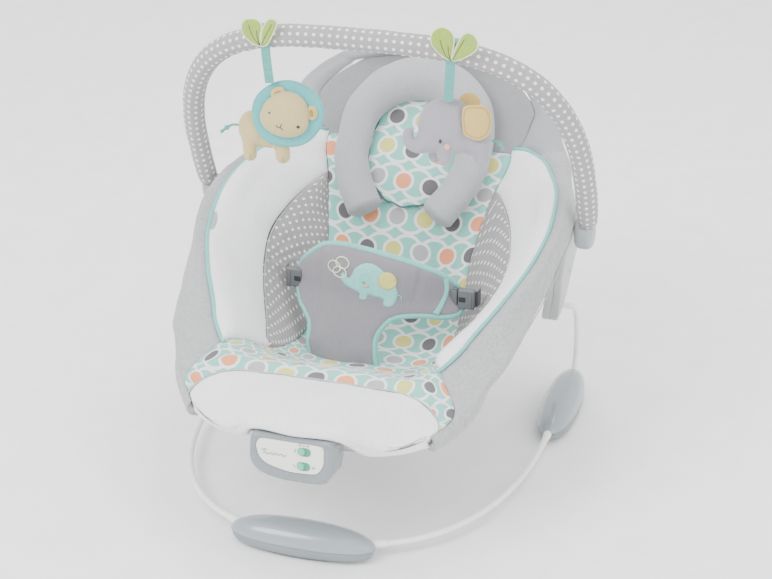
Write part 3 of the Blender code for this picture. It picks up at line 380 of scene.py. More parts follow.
SWITCH_GREEN = plastic("switch_plastic", rgb(96, 190, 155), 0.34, 0.2)
SLOT_DARK = plastic("switch_slot_plastic", rgb(72, 146, 124), 0.5)
ICON_INK = plastic("icon_ink", rgb(120, 124, 120), 0.5)
ICON_LEAF = plastic("icon_leaf_ink", rgb(140, 190, 90), 0.5)
STEEL = metal("zinc_steel", (0.62, 0.63, 0.65, 1), 0.35)
CELL = metal("battery_sleeve", (0.22, 0.24, 0.28, 1), 0.4)
BRASS = metal("brass", (0.66, 0.52, 0.26, 1), 0.35)
BOARD = plastic("board_laminate", (0.03, 0.22, 0.10, 1), 0.45)
SPEAKER_BLACK = plastic("speaker_paper", (0.03, 0.03, 0.035, 1), 0.8)
# painted shade: dark fill for the shadow inside a buckle socket's window
SOCKET_SHADOW_FILL = plastic("buckle_shadow", rgb(40, 41, 43), 0.7)
TAN_THREAD = twill("tan_thread", rgb(170, 158, 120), 0.0005)
EAR_THREAD = twill("ear_thread", rgb(176, 148, 88), 0.0005)
AQUA_PRINT = twill("aqua_print", rgb(140, 212, 206), 0.0010)
YELLOW_PRINT = twill("yellow_print", rgb(218, 210, 122), 0.0010)
FLOOR = plastic("floor_paint", (0.97, 0.97, 0.97, 1), 0.8)


# ------------------------------------------------------------------ mesh tools

def spline(knots, places):
    """Catmull-Rom curve through knots, at places counted in knots."""
    knots = np.asarray(knots, float)
    places = np.asarray(places, float)
    ends = (2 * knots[:1] - knots[1:2], knots, 2 * knots[-1:] - knots[-2:-1])
    padded = np.concatenate(ends)
    i = np.clip(np.floor(places).astype(int), 0, len(knots) - 2)
    f = (places - i).reshape(places.shape + (1,) * (knots.ndim - 1))
    a, b, c, d = (padded[i + k] for k in range(4))
    return 0.5 * (2 * b + (c - a) * f + (2 * a - 5 * b + 4 * c - d) * f ** 2
                  + (3 * b - a - 3 * c + d) * f ** 3)


def reach_along(path):
    """Distance along a path at each of its points."""
    return np.concatenate([[0], np.cumsum(np.linalg.norm(np.diff(path, axis=0), axis=1))])


def evenly(path, count, closed=False):
    """Evenly spaced points along a dense path; a closed one doesn't repeat its start."""
    reach = reach_along(path)
    even = np.linspace(0, reach[-1], count + closed)[:count]
    return np.stack([np.interp(even, reach, path[:, k]) for k in range(path.shape[1])], 1)


def through(knots, count):
    """A number of points evenly spaced along a smooth curve through knots."""
    knots = np.asarray([tuple(k) for k in knots], float)
    return evenly(spline(knots, np.linspace(0, len(knots) - 1, count * 8)), count)


def round_angles(count):
    """Angles of evenly spaced places round a circle."""
    return np.linspace(0, 2 * math.pi, count, endpoint=False)


def smooth_step(low, high, value):
    x = np.clip((value - low) / (high - low), 0, 1)
    return x * x * (3 - 2 * x)


def bumps(points, scale, seed=0.0):
    """Smooth noise, -1 to 1, at points with features one scale across."""
    flat = np.asarray(points, float).reshape(-1, 3) / scale + seed
    values = [noise.noise(Vector(p)) for p in flat]
    return np.array(values).reshape(np.asarray(points).shape[:-1])


def unit(vectors):
    lengths = np.linalg.norm(vectors, axis=-1, keepdims=True)
    return vectors / np.maximum(lengths, 1e-9)


def grid_normals(grid):
    """Normal at each point of a grid, along (second axis) x (first axis)."""
    return unit(np.cross(np.gradient(grid, axis=1), np.gradient(grid, axis=0)))


def make(name, points, faces, material, body, uv=None):
    """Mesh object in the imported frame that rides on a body."""
    mesh = bpy.data.meshes.new(name)
    shifted = np.asarray(points, float) + np.array(SHIFT)
    mesh.from_pydata(shifted.tolist(), [], [list(map(int, f)) for f in faces])
    if uv is not None:
        layer = mesh.uv_layers.new(name="UVMap")
        index = np.zeros(len(mesh.loops), np.int32)
        mesh.loops.foreach_get("vertex_index", index)
        layer.data.foreach_set("uv", np.asarray(uv, np.float32)[index].ravel())
    bm = bmesh.new()
    bm.from_mesh(mesh)
    bmesh.ops.recalc_face_normals(bm, faces=bm.faces)
    bm.to_mesh(mesh)
    bm.free()
    mesh.shade_smooth()
    obj = bpy.data.objects.new(name, mesh)
    bpy.context.scene.collection.objects.link(obj)
    mesh.materials.append(material)
    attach(obj, body)
    return obj


def sheet_faces(rows, columns, first=0, flip=False):
    """Quads of a grid of points."""
    i, j = np.meshgrid(np.arange(rows - 1), np.arange(columns - 1), indexing="ij")
    a = (first + i * columns + j).ravel()
    quads = np.stack([a, a + 1, a + 1 + columns, a + columns], 1)
    return quads[:, ::-1] if flip else quads


def ring_faces(count, around, closed=False):
    """Quads through a path's rings of points, capped at both ends unless the path is closed."""
    faces = []
    for i in range(count if closed else count - 1):
        n = (i + 1) % count
        for k in range(around):
            j = (k + 1) % around
            faces.append((i * around + k, i * around + j, n * around + j, n * around + k))
    if not closed:
        faces.append(tuple(range(around))[::-1])
        faces.append(tuple((count - 1) * around + k for k in range(around)))
    return faces


def edge_loop(rows, columns):
    """Numbers of the points around a grid's edge, in order."""
    top = [j for j in range(columns)]
    right = [i * columns + columns - 1 for i in range(1, rows)]
    bottom = [(rows - 1) * columns + j for j in range(columns - 2, -1, -1)]
    left = [i * columns for i in range(rows - 2, 0, -1)]
    return top + right + bottom + left


def pad(name, grid, thickness, material, body, uv=None, lift=0.0):
    """Closed padded piece: a grid for its face, and the same grid lowered for its back."""
    rows, columns = grid.shape[:2]
    normals = grid_normals(grid)
    lift = np.broadcast_to(lift, (rows, columns))[..., None]
    face = grid + normals * lift
    back = grid - normals * np.broadcast_to(thickness, (rows, columns))[..., None]
    points = np.concatenate([face.reshape(-1, 3), back.reshape(-1, 3)])
    count = rows * columns
    loop = edge_loop(rows, columns)
    rim = [(a, b, b + count, a + count) for a, b in zip(loop, loop[1:] + loop[:1])]
    faces = np.concatenate([sheet_faces(rows, columns), sheet_faces(rows, columns, count, True),
                            np.array(rim)[:, ::-1]])
    uvs = None
    if uv is not None:
        uvs = np.concatenate([uv.reshape(-1, 2)] * 2)
    return make(name, points, faces, material, body, uvs)


def grid_uv(grid, centre_column=None):
    """Distances across and along a grid, in metres."""
    across = np.linalg.norm(np.diff(grid, axis=1), axis=2)
    u = np.concatenate([np.zeros((len(grid), 1)), np.cumsum(across, axis=1)], 1)
    if centre_column is not None:
        u = u - u[:, centre_column:centre_column + 1]
    along = np.linalg.norm(np.diff(grid, axis=0), axis=2)
    v = np.concatenate([np.zeros((1, grid.shape[1])), np.cumsum(along, axis=0)])
    return np.stack([u, v], -1)


def frames_along(points, closed=False, start=None):
    """Two directions square to a path at each point, without twist."""
    points = np.asarray(points, float)
    if closed:
        along = unit(np.roll(points, -1, 0) - np.roll(points, 1, 0))
    else:
        along = unit(np.gradient(points, axis=0))
    first = np.array(start if start is not None else (0, 0, 1), float)
    if abs(first @ along[0]) > 0.95:
        first = np.array((1.0, 0, 0))
    found = []
    for direction in along:
        first = first - (first @ direction) * direction
        first = first / np.linalg.norm(first)
        found.append(first)
    firsts = np.array(found)
    return firsts, np.cross(along, firsts)


def ring_rows(points, radii, sides, closed=False, start=None, flat=1.0):
    """Rows of points around a path; flat squeezes the second direction."""
    first, second = frames_along(points, closed, start)
    angles = round_angles(sides)
    radii = np.broadcast_to(radii, (len(points),))[:, None, None]
    return (np.asarray(points, float)[:, None]
            + radii * (np.cos(angles)[None, :, None] * first[:, None]
                       + flat * np.sin(angles)[None, :, None] * second[:, None]))


def rod(name, points, radii, material, body, sides=12, closed=False, start=None, flat=1.0,
        round_ends=False):
    """Rod along a path, closed into a loop or capped at both ends."""
    points = np.asarray([tuple(p) for p in points], float)
    radii = np.broadcast_to(np.asarray(radii, float), (len(points),)).copy()
    if round_ends and not closed:
        points, radii = rounded_ends(points, radii)
    rows = ring_rows(points, radii, sides, closed, start, flat)
    faces = ring_faces(len(rows), sides, closed)
    reach = reach_along(points)
    u = round_angles(sides)[None] * radii[:, None]
    uv = np.stack([u, np.broadcast_to(reach[:, None], u.shape)], -1)
    return make(name, rows.reshape(-1, 3), faces, material, body, uv.reshape(-1, 2))


def rounded_ends(points, radii):
    """Path and radii with a half round added at each end."""
    new_points, new_radii = list(points), list(radii)
    steps = 5
    for end, inner, where in ((0, 1, 0), (-1, -2, 1)):
        out = unit(points[end] - points[inner])
        cap = []
        for k in range(1, steps + 1):
            a = k * math.pi / 2 / (steps + 0.4)
            cap.append((points[end] + out * radii[end] * math.sin(a), radii[end] * math.cos(a)))
        if where:
            new_points += [p for p, _ in cap]
            new_radii += [r for _, r in cap]
        else:
            new_points = [p for p, _ in cap[::-1]] + new_points
            new_radii = [r for _, r in cap[::-1]] + new_radii
    return np.array(new_points), np.array(new_radii)


def apply_modifiers(obj):
    """Replace an object's mesh by the one that its modifiers make."""
    graph = bpy.context.evaluated_depsgraph_get()
    graph.update()
    old = obj.data
    mesh = bpy.data.meshes.new_from_object(obj.evaluated_get(graph), depsgraph=graph)
    obj.modifiers.clear()
    obj.data = mesh
    bpy.data.meshes.remove(old)
    return obj


def puff(obj, pressure, most, frames):
    """Blow a padded piece up as cloth, then keep the mesh; no point moves further than most."""
    scene = bpy.context.scene
    rest = np.array([v.co for v in obj.data.vertices])
    cloth = obj.modifiers.new("cloth", "CLOTH")
    settings = cloth.settings
    settings.quality = 6
    settings.mass = 0.15
    settings.use_pressure = True
    settings.uniform_pressure_force = pressure
    settings.effector_weights.gravity = 0.0
    settings.bending_stiffness = 0.6
    settings.air_damping = 3.0
    cloth.point_cache.frame_start, cloth.point_cache.frame_end = 1, frames
    for number in range(1, frames + 1):
        scene.frame_set(number)
    apply_modifiers(obj)
    scene.frame_set(1)
    moved = np.array([v.co for v in obj.data.vertices]) - rest
    reach = np.linalg.norm(moved, axis=1, keepdims=True)
    kept = rest + moved * np.minimum(1.0, most / np.maximum(reach, 1e-9))
    obj.data.vertices.foreach_set("co", kept.astype(np.float32).ravel())
    obj.data.update()
    obj.data.shade_smooth()


# ------------------------------------------------------------------ seat surface

def seat(s, t):
    """Points of the seat's surface at stations s and places t across; negative is left."""
    s, t = np.broadcast_arrays(np.asarray(s, float), np.asarray(t, float))
    rows = spline(SECTIONS, s)
    mirror = rows[..., 1:2, :] * np.array((-1, 1, 1))
    beyond = 2 * rows[..., 3:4, :] - rows[..., 2:3, :]
    knots = np.concatenate([mirror, rows, beyond], axis=-2)
    place = np.abs(t) + 1
    i = np.clip(np.floor(place).astype(int), 1, 3)
    f = (place - i)[..., None]
    a, b, c, d = (np.take_along_axis(knots, (i + k)[..., None, None].repeat(3, -1), -2)[..., 0, :]
                  for k in (-1, 0, 1, 2))
    point = 0.5 * (2 * b + (c - a) * f + (2 * a - 5 * b + 4 * c - d) * f ** 2
                   + (3 * b - a - 3 * c + d) * f ** 3)
    point[..., 0] *= np.where(t < 0, -1.0, 1.0)
    return point


def seat_out(s, t):
    """Outward normal of the seat's surface."""
    e = 0.03
    return unit(np.cross(seat(s, t + e) - seat(s, t - e), seat(s + e, t) - seat(s - e, t)))


WING_LOW, WING_HIGH = 2.35, 10.1     # stations between which a wing's piping runs
TOP_SEAM = 10.05                     # station of the seam between the print and the grey top
ROUND_FROM = 8.8                     # station above which the piping curves in


def print_edge(s):
    """Place across where the print meets the wing or, lower down, the side roll."""
    width = np.where(s < 2.1, 0.45, 0.62)
    return 1.0 + 2.0 / (1.0 + np.exp((s - 2.1) / width)) - 0.02 * smooth_step(4.5, 6.0, s)


def piping_edge(s):
    """Place across of the piping."""
    low = 0.27 * np.clip((3.0 - s) / 0.65, 0, 1) ** 2
    high = np.clip((s - ROUND_FROM) / (WING_HIGH - ROUND_FROM), 0, 1)
    return 2.0 - low - 0.97 * (1 - np.sqrt(np.clip(1 - high ** 2.4, 0, 1)))


def inset_edge(s):
    """Place across of the dotted inset's curved edge."""
    swell = np.sin(math.pi * np.clip((s - 3.7) / 5.2, 0, 1)) ** 0.75
    return print_edge(s) + 0.50 * swell


def top_edge(s):
    """Place across where the grey top panel meets the side roll."""
    return np.clip(1.04 + 0.96 * (s - TOP_SEAM) / 0.65, 1.0, 2.0)


def apron_line(u):
    """Station of the seam between the print and the white apron, by share across."""
    return 1.85 - 1.45 * np.abs(u) ** 4


def pillow(across, power=0.55):
    """Crown of a padded panel held at both edges, by share across from 0 to 1."""
    return (4 * np.clip(across * (1 - across), 0, 1)) ** power


def build_print_panel():
    """Printed centre panel from the apron's seam to the grey top, gathered at its front."""
    rows, columns = 190, 97
    u = np.linspace(-1, 1, columns)[None]
    v = np.linspace(0, 1, rows)[:, None]
    low = apron_line(u) + 0.035 * bumps(np.stack([u * 6, u * 0, u * 0], -1), 1.0, 3.0)
    s = low + (TOP_SEAM + 0.25 - low) * v
    edge = np.where(s > TOP_SEAM, 1.0, print_edge(s))
    t = u * edge
    grid = seat(s, t)
    uv = grid_uv(grid, columns // 2)
    middle_s = np.linspace(0, 12, 600)
    middle = seat(middle_s, 0.0)
    run = reach_along(middle)
    uv[..., 1] = np.interp(s, middle_s, run) + PRINT_SHIFT[1]
    uv[..., 0] += PRINT_SHIFT[0]
    crown = 0.0045 * pillow((u + 1) / 2, 0.4) * smooth_step(0.0, 0.05, v)
    gathers = np.exp(-(s - low) / 0.55)
    folds = bumps(np.stack([grid[..., 0] * 1.0, s * 0.012, s * 0], -1), 0.011, 1.0)
    soft = bumps(grid, 0.05, 7.0)
    crease = 0.0035 * np.exp(-((s - 4.95) / 0.35) ** 2) * smooth_step(0.35, 1.0, np.abs(u))
    lift = crown + 0.0030 * gathers * folds + 0.0012 * soft - crease
    lift = lift + 0.0035 * np.exp(-((s - low - 0.35) / 0.3) ** 2)
    piece = pad("print_panel", grid, 0.0105, PRINT, "seat", uv, lift)
    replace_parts(piece, "centre_panel")
    seam = grid[0] + grid_normals(grid)[0] * 0.0008
    rod("apron_seam", seam[::2], 0.0009, STITCH, "seat", 6)


def wing_grid(side, low, high, inner, outer, rows, columns):
    """Grid of a wing's panel between two curves across the seat."""
    s = (low + (high - low) * np.linspace(0, 1, rows))[:, None]
    b = np.linspace(0, 1, columns)[None]
    t = inner(s) + (outer(s) - inner(s)) * b
    order = 1 if side > 0 else -1
    return seat(s, side * t)[:, ::order], s, b[:, ::order]


def build_wings():
    """White plush wings with their dotted insets and teal piping."""
    for side, word in SIDES:
        grid, s, b = wing_grid(side, 3.75, 8.88, print_edge, inset_edge, 110, 34)
        radial = np.arctan2(grid[..., 2] - 0.196, grid[..., 1] - 0.010)
        reach = np.linalg.norm(grid[..., 1:] - np.array((0.010, 0.196)), axis=-1)
        pucker = np.sin(radial * 15) * np.exp(-reach / 0.030)
        lift = 0.0040 * pillow(b) + 0.0016 * pucker + 0.0010 * bumps(grid, 0.020, side)
        piece = pad(f"{word}_dotted_inset", grid, 0.008, POLKA, "seat", grid_uv(grid), lift)

        inner = lambda x: np.maximum(print_edge(x), np.where(x < 8.88, inset_edge(x), 0) *
                                     (x > 3.75)) + 0.012
        grid, s, b = wing_grid(side, WING_LOW + 0.03, WING_HIGH - 0.02, inner,
                               lambda x: piping_edge(x) - 0.006, 150, 44)
        ends = smooth_step(WING_LOW, WING_LOW + 0.5, s) * (1 - smooth_step(9.5, WING_HIGH, s))
        over_hub = 0.0045 * np.exp(-((s - 7.2) / 1.0) ** 2) * smooth_step(0.5, 0.85, b)
        lift = 0.0105 * pillow(b, 0.6) * (0.25 + 0.75 * ends) + 0.0009 * bumps(grid, 0.03, 5 + side)
        lift = lift + over_hub
        piece = pad(f"{word}_plush_wing", grid, 0.008, WHITE_PLUSH, "seat", None, lift)
        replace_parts(piece, f"{word}_wing")

        s = np.linspace(WING_LOW, WING_HIGH, 150)
        line = seat(s, side * piping_edge(s))
        out = seat_out(s, side * piping_edge(s))
        rod(f"{word}_piping", line + 0.0022 * out, 0.0022, TEAL, "seat", 10)
        s = np.linspace(3.75, 8.88, 120)
        seam = seat(s, side * inset_edge(s)) + 0.0004 * seat_out(s, side * inset_edge(s))
        rod(f"{word}_inset_seam", seam, 0.0008, STITCH, "seat", 6)


def roll_centre(s, side=1):
    """Centre and radius of the side roll at stations s."""
    rows = spline(SECTIONS, s)
    piping, rim = rows[..., 2, :], rows[..., 3, :]
    frame_line = (piping + rim) / 2 + np.array((-0.004, 0.0, -0.008))
    front_line = rim + np.array((-0.006, 0.008, -0.0135))
    share = smooth_step(1.5, 2.9, s)[..., None]
    centre = frame_line * share + front_line * (1 - share)
    wide = np.clip(np.linalg.norm(piping - rim, axis=-1) / 2, 0.0135, 0.021)
    radius = wide * share[..., 0] + 0.0105 * (1 - share[..., 0])
    return centre * np.array((side, 1, 1)), radius


def roll_inner(s):
    """Place across of the side roll's inner edge."""
    lower = np.where(s < WING_LOW, print_edge(s), piping_edge(s))
    return np.where(s < TOP_SEAM + 0.03, lower, top_edge(s)) + 0.015


def roll_sections(count, around):
    """Sections of the roll from the right front corner over the top to the left one."""
    s = np.linspace(0.12, 11.75, count)
    inner = roll_inner(s)
    centre, radius = roll_centre(s)
    rows = spline(SECTIONS, s)
    out = seat_out(s, 2.6 * np.ones_like(s))
    along = unit(np.gradient(centre, axis=0))
    across = unit(np.cross(along, np.cross(rows[:, 3] - rows[:, 2], along)))
    up = unit(np.cross(across, along))
    up = up * np.sign((up * out).sum(1, keepdims=True))
    sections = []
    for k in range(count):
        raised = 0.0055 * smooth_step(8.4, 9.3, s[k]) * out[k]
        start, rim = seat(s[k], inner[k]), rows[k, 3] + raised
        flat = [seat(s[k], inner[k] + (3.0 - inner[k]) * f) + raised * min(1.0, 3 * f)
                for f in (0.0, 0.25, 0.5, 0.75)]
        offset = rim - centre[k]
        angle = math.atan2(offset @ up[k], offset @ across[k])
        first = np.linalg.norm(offset)
        arc = []
        for f in np.linspace(0, 1, 9):
            a = angle - f * (angle + math.radians(165))
            r = first + (radius[k] - first) * min(1.0, 2.2 * f)
            arc.append(centre[k] + r * (math.cos(a) * across[k] + math.sin(a) * up[k]))
        tuck = start - 0.009 * out[k]
        loop = np.array(flat + arc + [(arc[-1] + tuck) / 2 - 0.002 * out[k], tuck])
        closed = np.concatenate([loop, loop[:1]])
        fine = spline(closed, np.linspace(0, len(closed) - 1, around * 6 + 1))
        sections.append(evenly(fine, around, True))
    right = np.array(sections)
    left = right * np.array((-1, 1, 1))
    shoulder = (right[-1] + left[-1]) / 2
    steps = 26
    bridge = []
    for f in np.linspace(0, 1, steps + 2)[1:-1]:
        x_share = math.cos(math.pi * f)
        level = 1 - x_share ** 2
        row = right[-1] * (1 - f) + left[-1] * f
        row[:, 0] = shoulder[:, 0] + (right[-1] - shoulder)[:, 0] * x_share
        row[:, 1] += 0.009 * level
        row[:, 2] += 0.0135 * level
        bridge.append(row)
    return np.concatenate([right, np.array(bridge), left[::-1]])


ROLL_TOP = 122                        # section above which the roll is the smooth grey cloth


def build_roll():
    """Grey jersey roll over the seat frame, in one piece round the back."""
    rows = roll_sections(150, 40)
    count, around = rows.shape[:2]
    centre = rows.mean(1, keepdims=True)
    out = unit(rows - centre)
    wrinkle = bumps(rows * np.array((1, 1, 0.45)), 0.022, 11.0) * 0.0011
    rows = rows + out * wrinkle[..., None]
    piece = make("jersey_roll", rows.reshape(-1, 3), ring_faces(count, around), HEATHER, "seat")
    piece.data.materials.append(TOP_VELOUR)
    for face in piece.data.polygons:
        section = face.index // around
        face.material_index = int(ROLL_TOP <= section < count - 1 - ROLL_TOP)
    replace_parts(piece, "left_rim_pad", "right_rim_pad", "back_rim_pad")
    for side, word in SIDES:
        s = np.linspace(3.0, 9.6, 110)
        line, radius = roll_centre(s, side)
        rim = seat(s, side * 3.0)
        out = unit(rim - line)
        seam = line + out * (radius + 0.0012)[:, None] + np.array((0, 0, -0.006))
        rod(f"{word}_roll_seam", seam, 0.0006, STITCH, "seat", 6)


def build_top_panel():
    """Smooth grey cloth between the head support and the roll."""
    rows, columns = 60, 90
    s = np.linspace(TOP_SEAM - 0.05, 11.98, rows)[:, None]
    u = np.linspace(-1, 1, columns)[None]
    t = u * top_edge(s)
    grid = seat(s, t)
    lift = 0.0035 * pillow((u + 1) / 2, 0.4) + 0.0012 * bumps(grid, 0.05, 21.0)
    piece = pad("grey_top_panel", grid, 0.0105, TRI_SATIN, "seat", None, lift)


def build_under_cover():
    """Plain cloth under the seat, from roll to roll."""
    rows, columns = 120, 70
    s = np.linspace(0.95, 11.9, rows)[:, None]
    u = np.linspace(-1, 1, columns)[None]
    t = u * np.minimum(2.25, roll_inner(s) + 0.1)
    grid = seat(s, t)
    normals = grid_normals(grid)
    sag = 0.0125 + 0.004 * pillow((u + 1) / 2, 0.7) + 0.0012 * bumps(grid, 0.04, 31.0)
    lowered = grid - normals * sag[..., None]
    pad("under_cover", lowered, 0.0014, UNDER_CLOTH, "seat", grid_uv(lowered))


def build_apron():
    """White plush apron over the front tube, with a rolled hem above the unit."""
    columns, flat_rows = 121, 46
    u = np.linspace(-1, 1, columns)[None]
    v = np.linspace(1, 0, flat_rows)[:, None]
    s = (apron_line(u) - 0.01) * v ** 1.0
    t = u * print_edge(s) * 0.992
    grid = seat(s, t)
    front = grid[-1]
    tube = through(FRONT_TUBE, 400)
    share = smooth_step(0.044, 0.074, np.abs(front[:, 0]))[:, None]
    beside = np.array([tube[np.abs(tube[:, 0] - 1.02 * p[0]).argmin()] for p in front])
    out = unit((front - beside) * np.array((0.4, 1, 0.2)))
    skirts, lips = [], []
    for lower, forward, down in ((0.28, 0.0125, -0.004), (0.60, 0.0125, 0.003),
                                 (0.85, 0.0100, 0.0075), (1.0, 0.003, 0.0095),
                                 (1.0, -0.008, 0.0080)):
        wrap = beside + out * forward - np.array((0, 0, down))
        skirts.append(front * (1 - lower) + wrap * lower)
    for forward, down in ((0.0025, 0.0030), (0.0035, 0.0060), (0.0030, 0.0085), (0.0, 0.0098),
                          (-0.004, 0.0090)):
        lips.append(front + np.array((0, -forward, -down)))
    extra = np.array(skirts) * share + np.array(lips) * (1 - share)
    knots = np.concatenate([grid[-2:], extra])
    tail = spline(knots, np.linspace(1, len(knots) - 1, 40))[1:]
    whole = np.concatenate([grid, tail])
    soft = bumps(whole, 0.035, 41.0) * 0.0013
    rows = len(whole)
    depth = np.linspace(0, 1, rows)[:, None]
    crown = 0.0045 * pillow(np.clip(depth * 1.25, 0, 1), 0.5) * pillow((u + 1) / 2, 0.3)
    folds = bumps(np.stack([whole[..., 0], whole[..., 1] * 0, whole[..., 0] * 0], -1), 0.012, 2.0)
    lift = crown + soft + 0.0009 * folds * np.exp(-depth / 0.10)
    piece = pad("plush_apron", whole[::-1], 0.0045, APRON_PLUSH, "seat", None, lift[::-1])
    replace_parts(piece, "foot_panel")


# ------------------------------------------------------------------ base, feet and frame

def floor_loop(count):
    """Route of the front wire round the floor."""
    angles = np.linspace(-math.pi / 2, math.pi / 2, count)
    power = 2 / LOOP_EXP
    x = LOOP_A * np.sign(np.sin(angles)) * np.abs(np.sin(angles)) ** power
    y = LOOP_FRONT + LOOP_B - LOOP_B * np.abs(np.cos(angles)) ** power
    loop = np.stack([x, y, np.full(count, WIRE_Z)], 1)
    ends = np.array(((-LOOP_A, LOOP_END_Y, WIRE_Z), (LOOP_A, LOOP_END_Y, WIRE_Z)))
    return np.concatenate([ends[:1], loop, ends[1:]])


def side_wire(side):
    """Route of a side wire from its foot up into the hub."""
    knots = [(LOOP_A, LOOP_END_Y, WIRE_Z), (LOOP_A, 0.148, WIRE_Z), (LOOP_A, 0.165, 0.021),
             (LOOP_A, 0.174, 0.038), (LOOP_A, 0.175, 0.063), (LOOP_A, 0.169, 0.088),
             (LOOP_A, 0.160, 0.106), (LOOP_A - 0.001, 0.1558, 0.1128),
             (LOOP_A - 0.004, PIVOT.y + 0.0005, PIVOT.z - 0.0005),
             (LOOP_A - 0.009, PIVOT.y, PIVOT.z), (LOOP_A - 0.033, PIVOT.y, PIVOT.z)]
    return through(knots, 90) * np.array((side, 1, 1))


def build_wires():
    """Coated base wires with a collar where they enter each foot."""
    front = rod("front_base_wire", through(floor_loop(90), 240), WIRE_R, WIRE_WHITE, "base", 16)
    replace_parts(front, "front_wire")
    for side, word in SIDES:
        wire = rod(f"{word}_base_wire", side_wire(side), WIRE_R, WIRE_WHITE, "base", 16)
        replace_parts(wire, f"{word}_side_wire")
    loop = through(floor_loop(90), 600)
    for k, (side, way) in enumerate(((0, 1), (0, -1), (1, -1), (-1, -1))):
        if side == 0:
            near = loop[np.abs(loop[:, 0] - way * (FOOT_L / 2 + 0.001)).argmin()]
            index = np.abs(loop[:, 0] - near[0]).argmin()
        else:
            candidates = np.where(loop[:, 0] * side > 0.15)[0]
            wanted = SIDE_FOOT_Y - FOOT_L / 2 - 0.001
            index = candidates[np.abs(loop[candidates, 1] - wanted).argmin()]
        piece = loop[max(index - 6, 0):index + 7]
        radii = WIRE_R + 0.0012 * np.sin(np.linspace(0.25, math.pi - 0.25, len(piece))) ** 0.5
        rod(f"wire_collar_{k + 1}", piece, radii, WIRE_WHITE, "base", 16)


def foot_outline(length, width):
    """Outline of a foot: an oval drawn out at its ends."""
    a = round_angles(72)
    u = np.sign(np.cos(a)) * np.abs(np.cos(a)) ** 0.92 * length / 2
    v = np.sign(np.sin(a)) * np.abs(np.sin(a)) ** 0.90 * width / 2
    return u, v


def loft(name, levels, material, body):
    """Closed piece through stacked rings of points."""
    levels = np.asarray(levels)
    obj = make(name, levels.reshape(-1, 3), ring_faces(*levels.shape[:2]), material, body)
    obj.data.set_sharp_from_angle(angle=math.radians(42))
    return obj


def build_feet():
    """Glossy foot shells over a base plate and a rubber pad."""
    feet = [("front", (0.0, LOOP_FRONT), True)]
    feet += [(word, (side * LOOP_A, SIDE_FOOT_Y), False) for side, word in SIDES]
    for word, centre, along_x in feet:
        def ring(scale, z, wide=1.0):
            u, v = foot_outline(FOOT_L * scale, FOOT_W * scale * wide)
            x, y = (u, v) if along_x else (-v, u)
            return np.stack([x + centre[0], y + centre[1], np.full(len(u), z)], 1)
        half = [(math.cos(a), math.sin(a)) for a in np.linspace(0, math.pi / 2, 14)[:-1]]
        rise = FOOT_TOP - WIRE_Z - 0.0004
        shell = [ring(0.975, WIRE_Z + 0.0001)]
        shell += [ring(0.03 + 0.97 * c ** 0.62, WIRE_Z + 0.0004 + rise * h ** 1.15, c ** 0.12)
                  for c, h in half]
        piece = loft(f"{word}_foot_top", shell, FOOT_GREY, "base")
        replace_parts(piece, f"{word}_foot_shell")
        base = [ring(0.93, PAD_H + 0.0002), ring(0.955, PAD_H + 0.0012), ring(0.975, 0.0095),
                ring(0.985, WIRE_Z - 0.0012), ring(0.970, WIRE_Z - 0.0003)]
        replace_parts(loft(f"{word}_foot_plate", base, FOOT_BASE, "base"), f"{word}_foot_base")
        pads = [ring(0.600, 0.0, 1.25), ring(0.615, 0.0006, 1.25), ring(0.62, PAD_H, 1.25)]
        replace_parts(loft(f"{word}_foot_rubber", pads, RUBBER, "base"), f"{word}_foot_pad")


def hub_outline():
    """Outline of a hub in the YZ plane, rounded at its foot and shoulders."""
    low = [(PIVOT.y - 0.006 + HUB_R * math.cos(a), PIVOT.z + 0.004 + HUB_R * math.sin(a))
           for a in (math.radians(d) for d in range(-175, 11, 31))]
    top = [(0.160, 0.185), (0.142, 0.240), (0.136, 0.258), (0.120, HUB_TOP_Z), (0.090, HUB_TOP_Z),
           (0.060, HUB_TOP_Z - 0.001), (0.048, HUB_TOP_Z - 0.012), (0.066, 0.200), (0.100, 0.160)]
    points = low + top
    return through(points + points[:1], 91)[:-1]


def build_hubs():
    """Light grey hub shells with rounded edges, a parting line and two screws."""
    outline = hub_outline()
    middle = outline.mean(0)
    inward = unit(middle - outline)
    for side, word in SIDES:
        for part, near, far in (("cover", 0.0003, HUB_OUT), ("body", 0.0, -HUB_IN)):
            levels = []
            depth = abs(far - near)
            edge = 0.0032
            steps = [(0.0, 0.0006), (0.0006, 0.0)]
            steps += [(depth - edge * (1 - math.sin(a)), edge * (1 - math.cos(a)))
                      for a in np.linspace(0, math.pi / 2, 6)]
            for out, inset in steps:
                yz = outline + inward * inset
                x = HUB_X + near + math.copysign(out, far) + HUB_LEAN * (yz[:, 1] - PIVOT.z)
                levels.append(np.stack([side * x, yz[:, 0], yz[:, 1]], 1))
            piece = loft(f"{word}_hub_{part}_shell", levels, HUB_GREY, "seat")
            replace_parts(piece, f"{word}_hub_{part}")
        for k, (y, z) in enumerate(((PIVOT.y - 0.022, PIVOT.z + 0.060), (0.098, 0.232))):
            x = HUB_X + HUB_OUT + HUB_LEAN * (z - PIVOT.z)
            head = [(x + d, r) for d, r in ((-0.002, 0.0042), (0.0006, 0.0042), (0.0011, 0.0036),
                                            (0.0011, 0.0022), (-0.0008, 0.0018))]
            rings = []
            for place, radius in head:
                a = round_angles(24)
                rings.append(np.stack([np.full(24, side * place), y + radius * np.cos(a),
                                       z + radius * np.sin(a)], 1))
            loft(f"{word}_hub_screw_{k + 1}", rings, STEEL, "seat")


# ------------------------------------------------------------------ toy bar

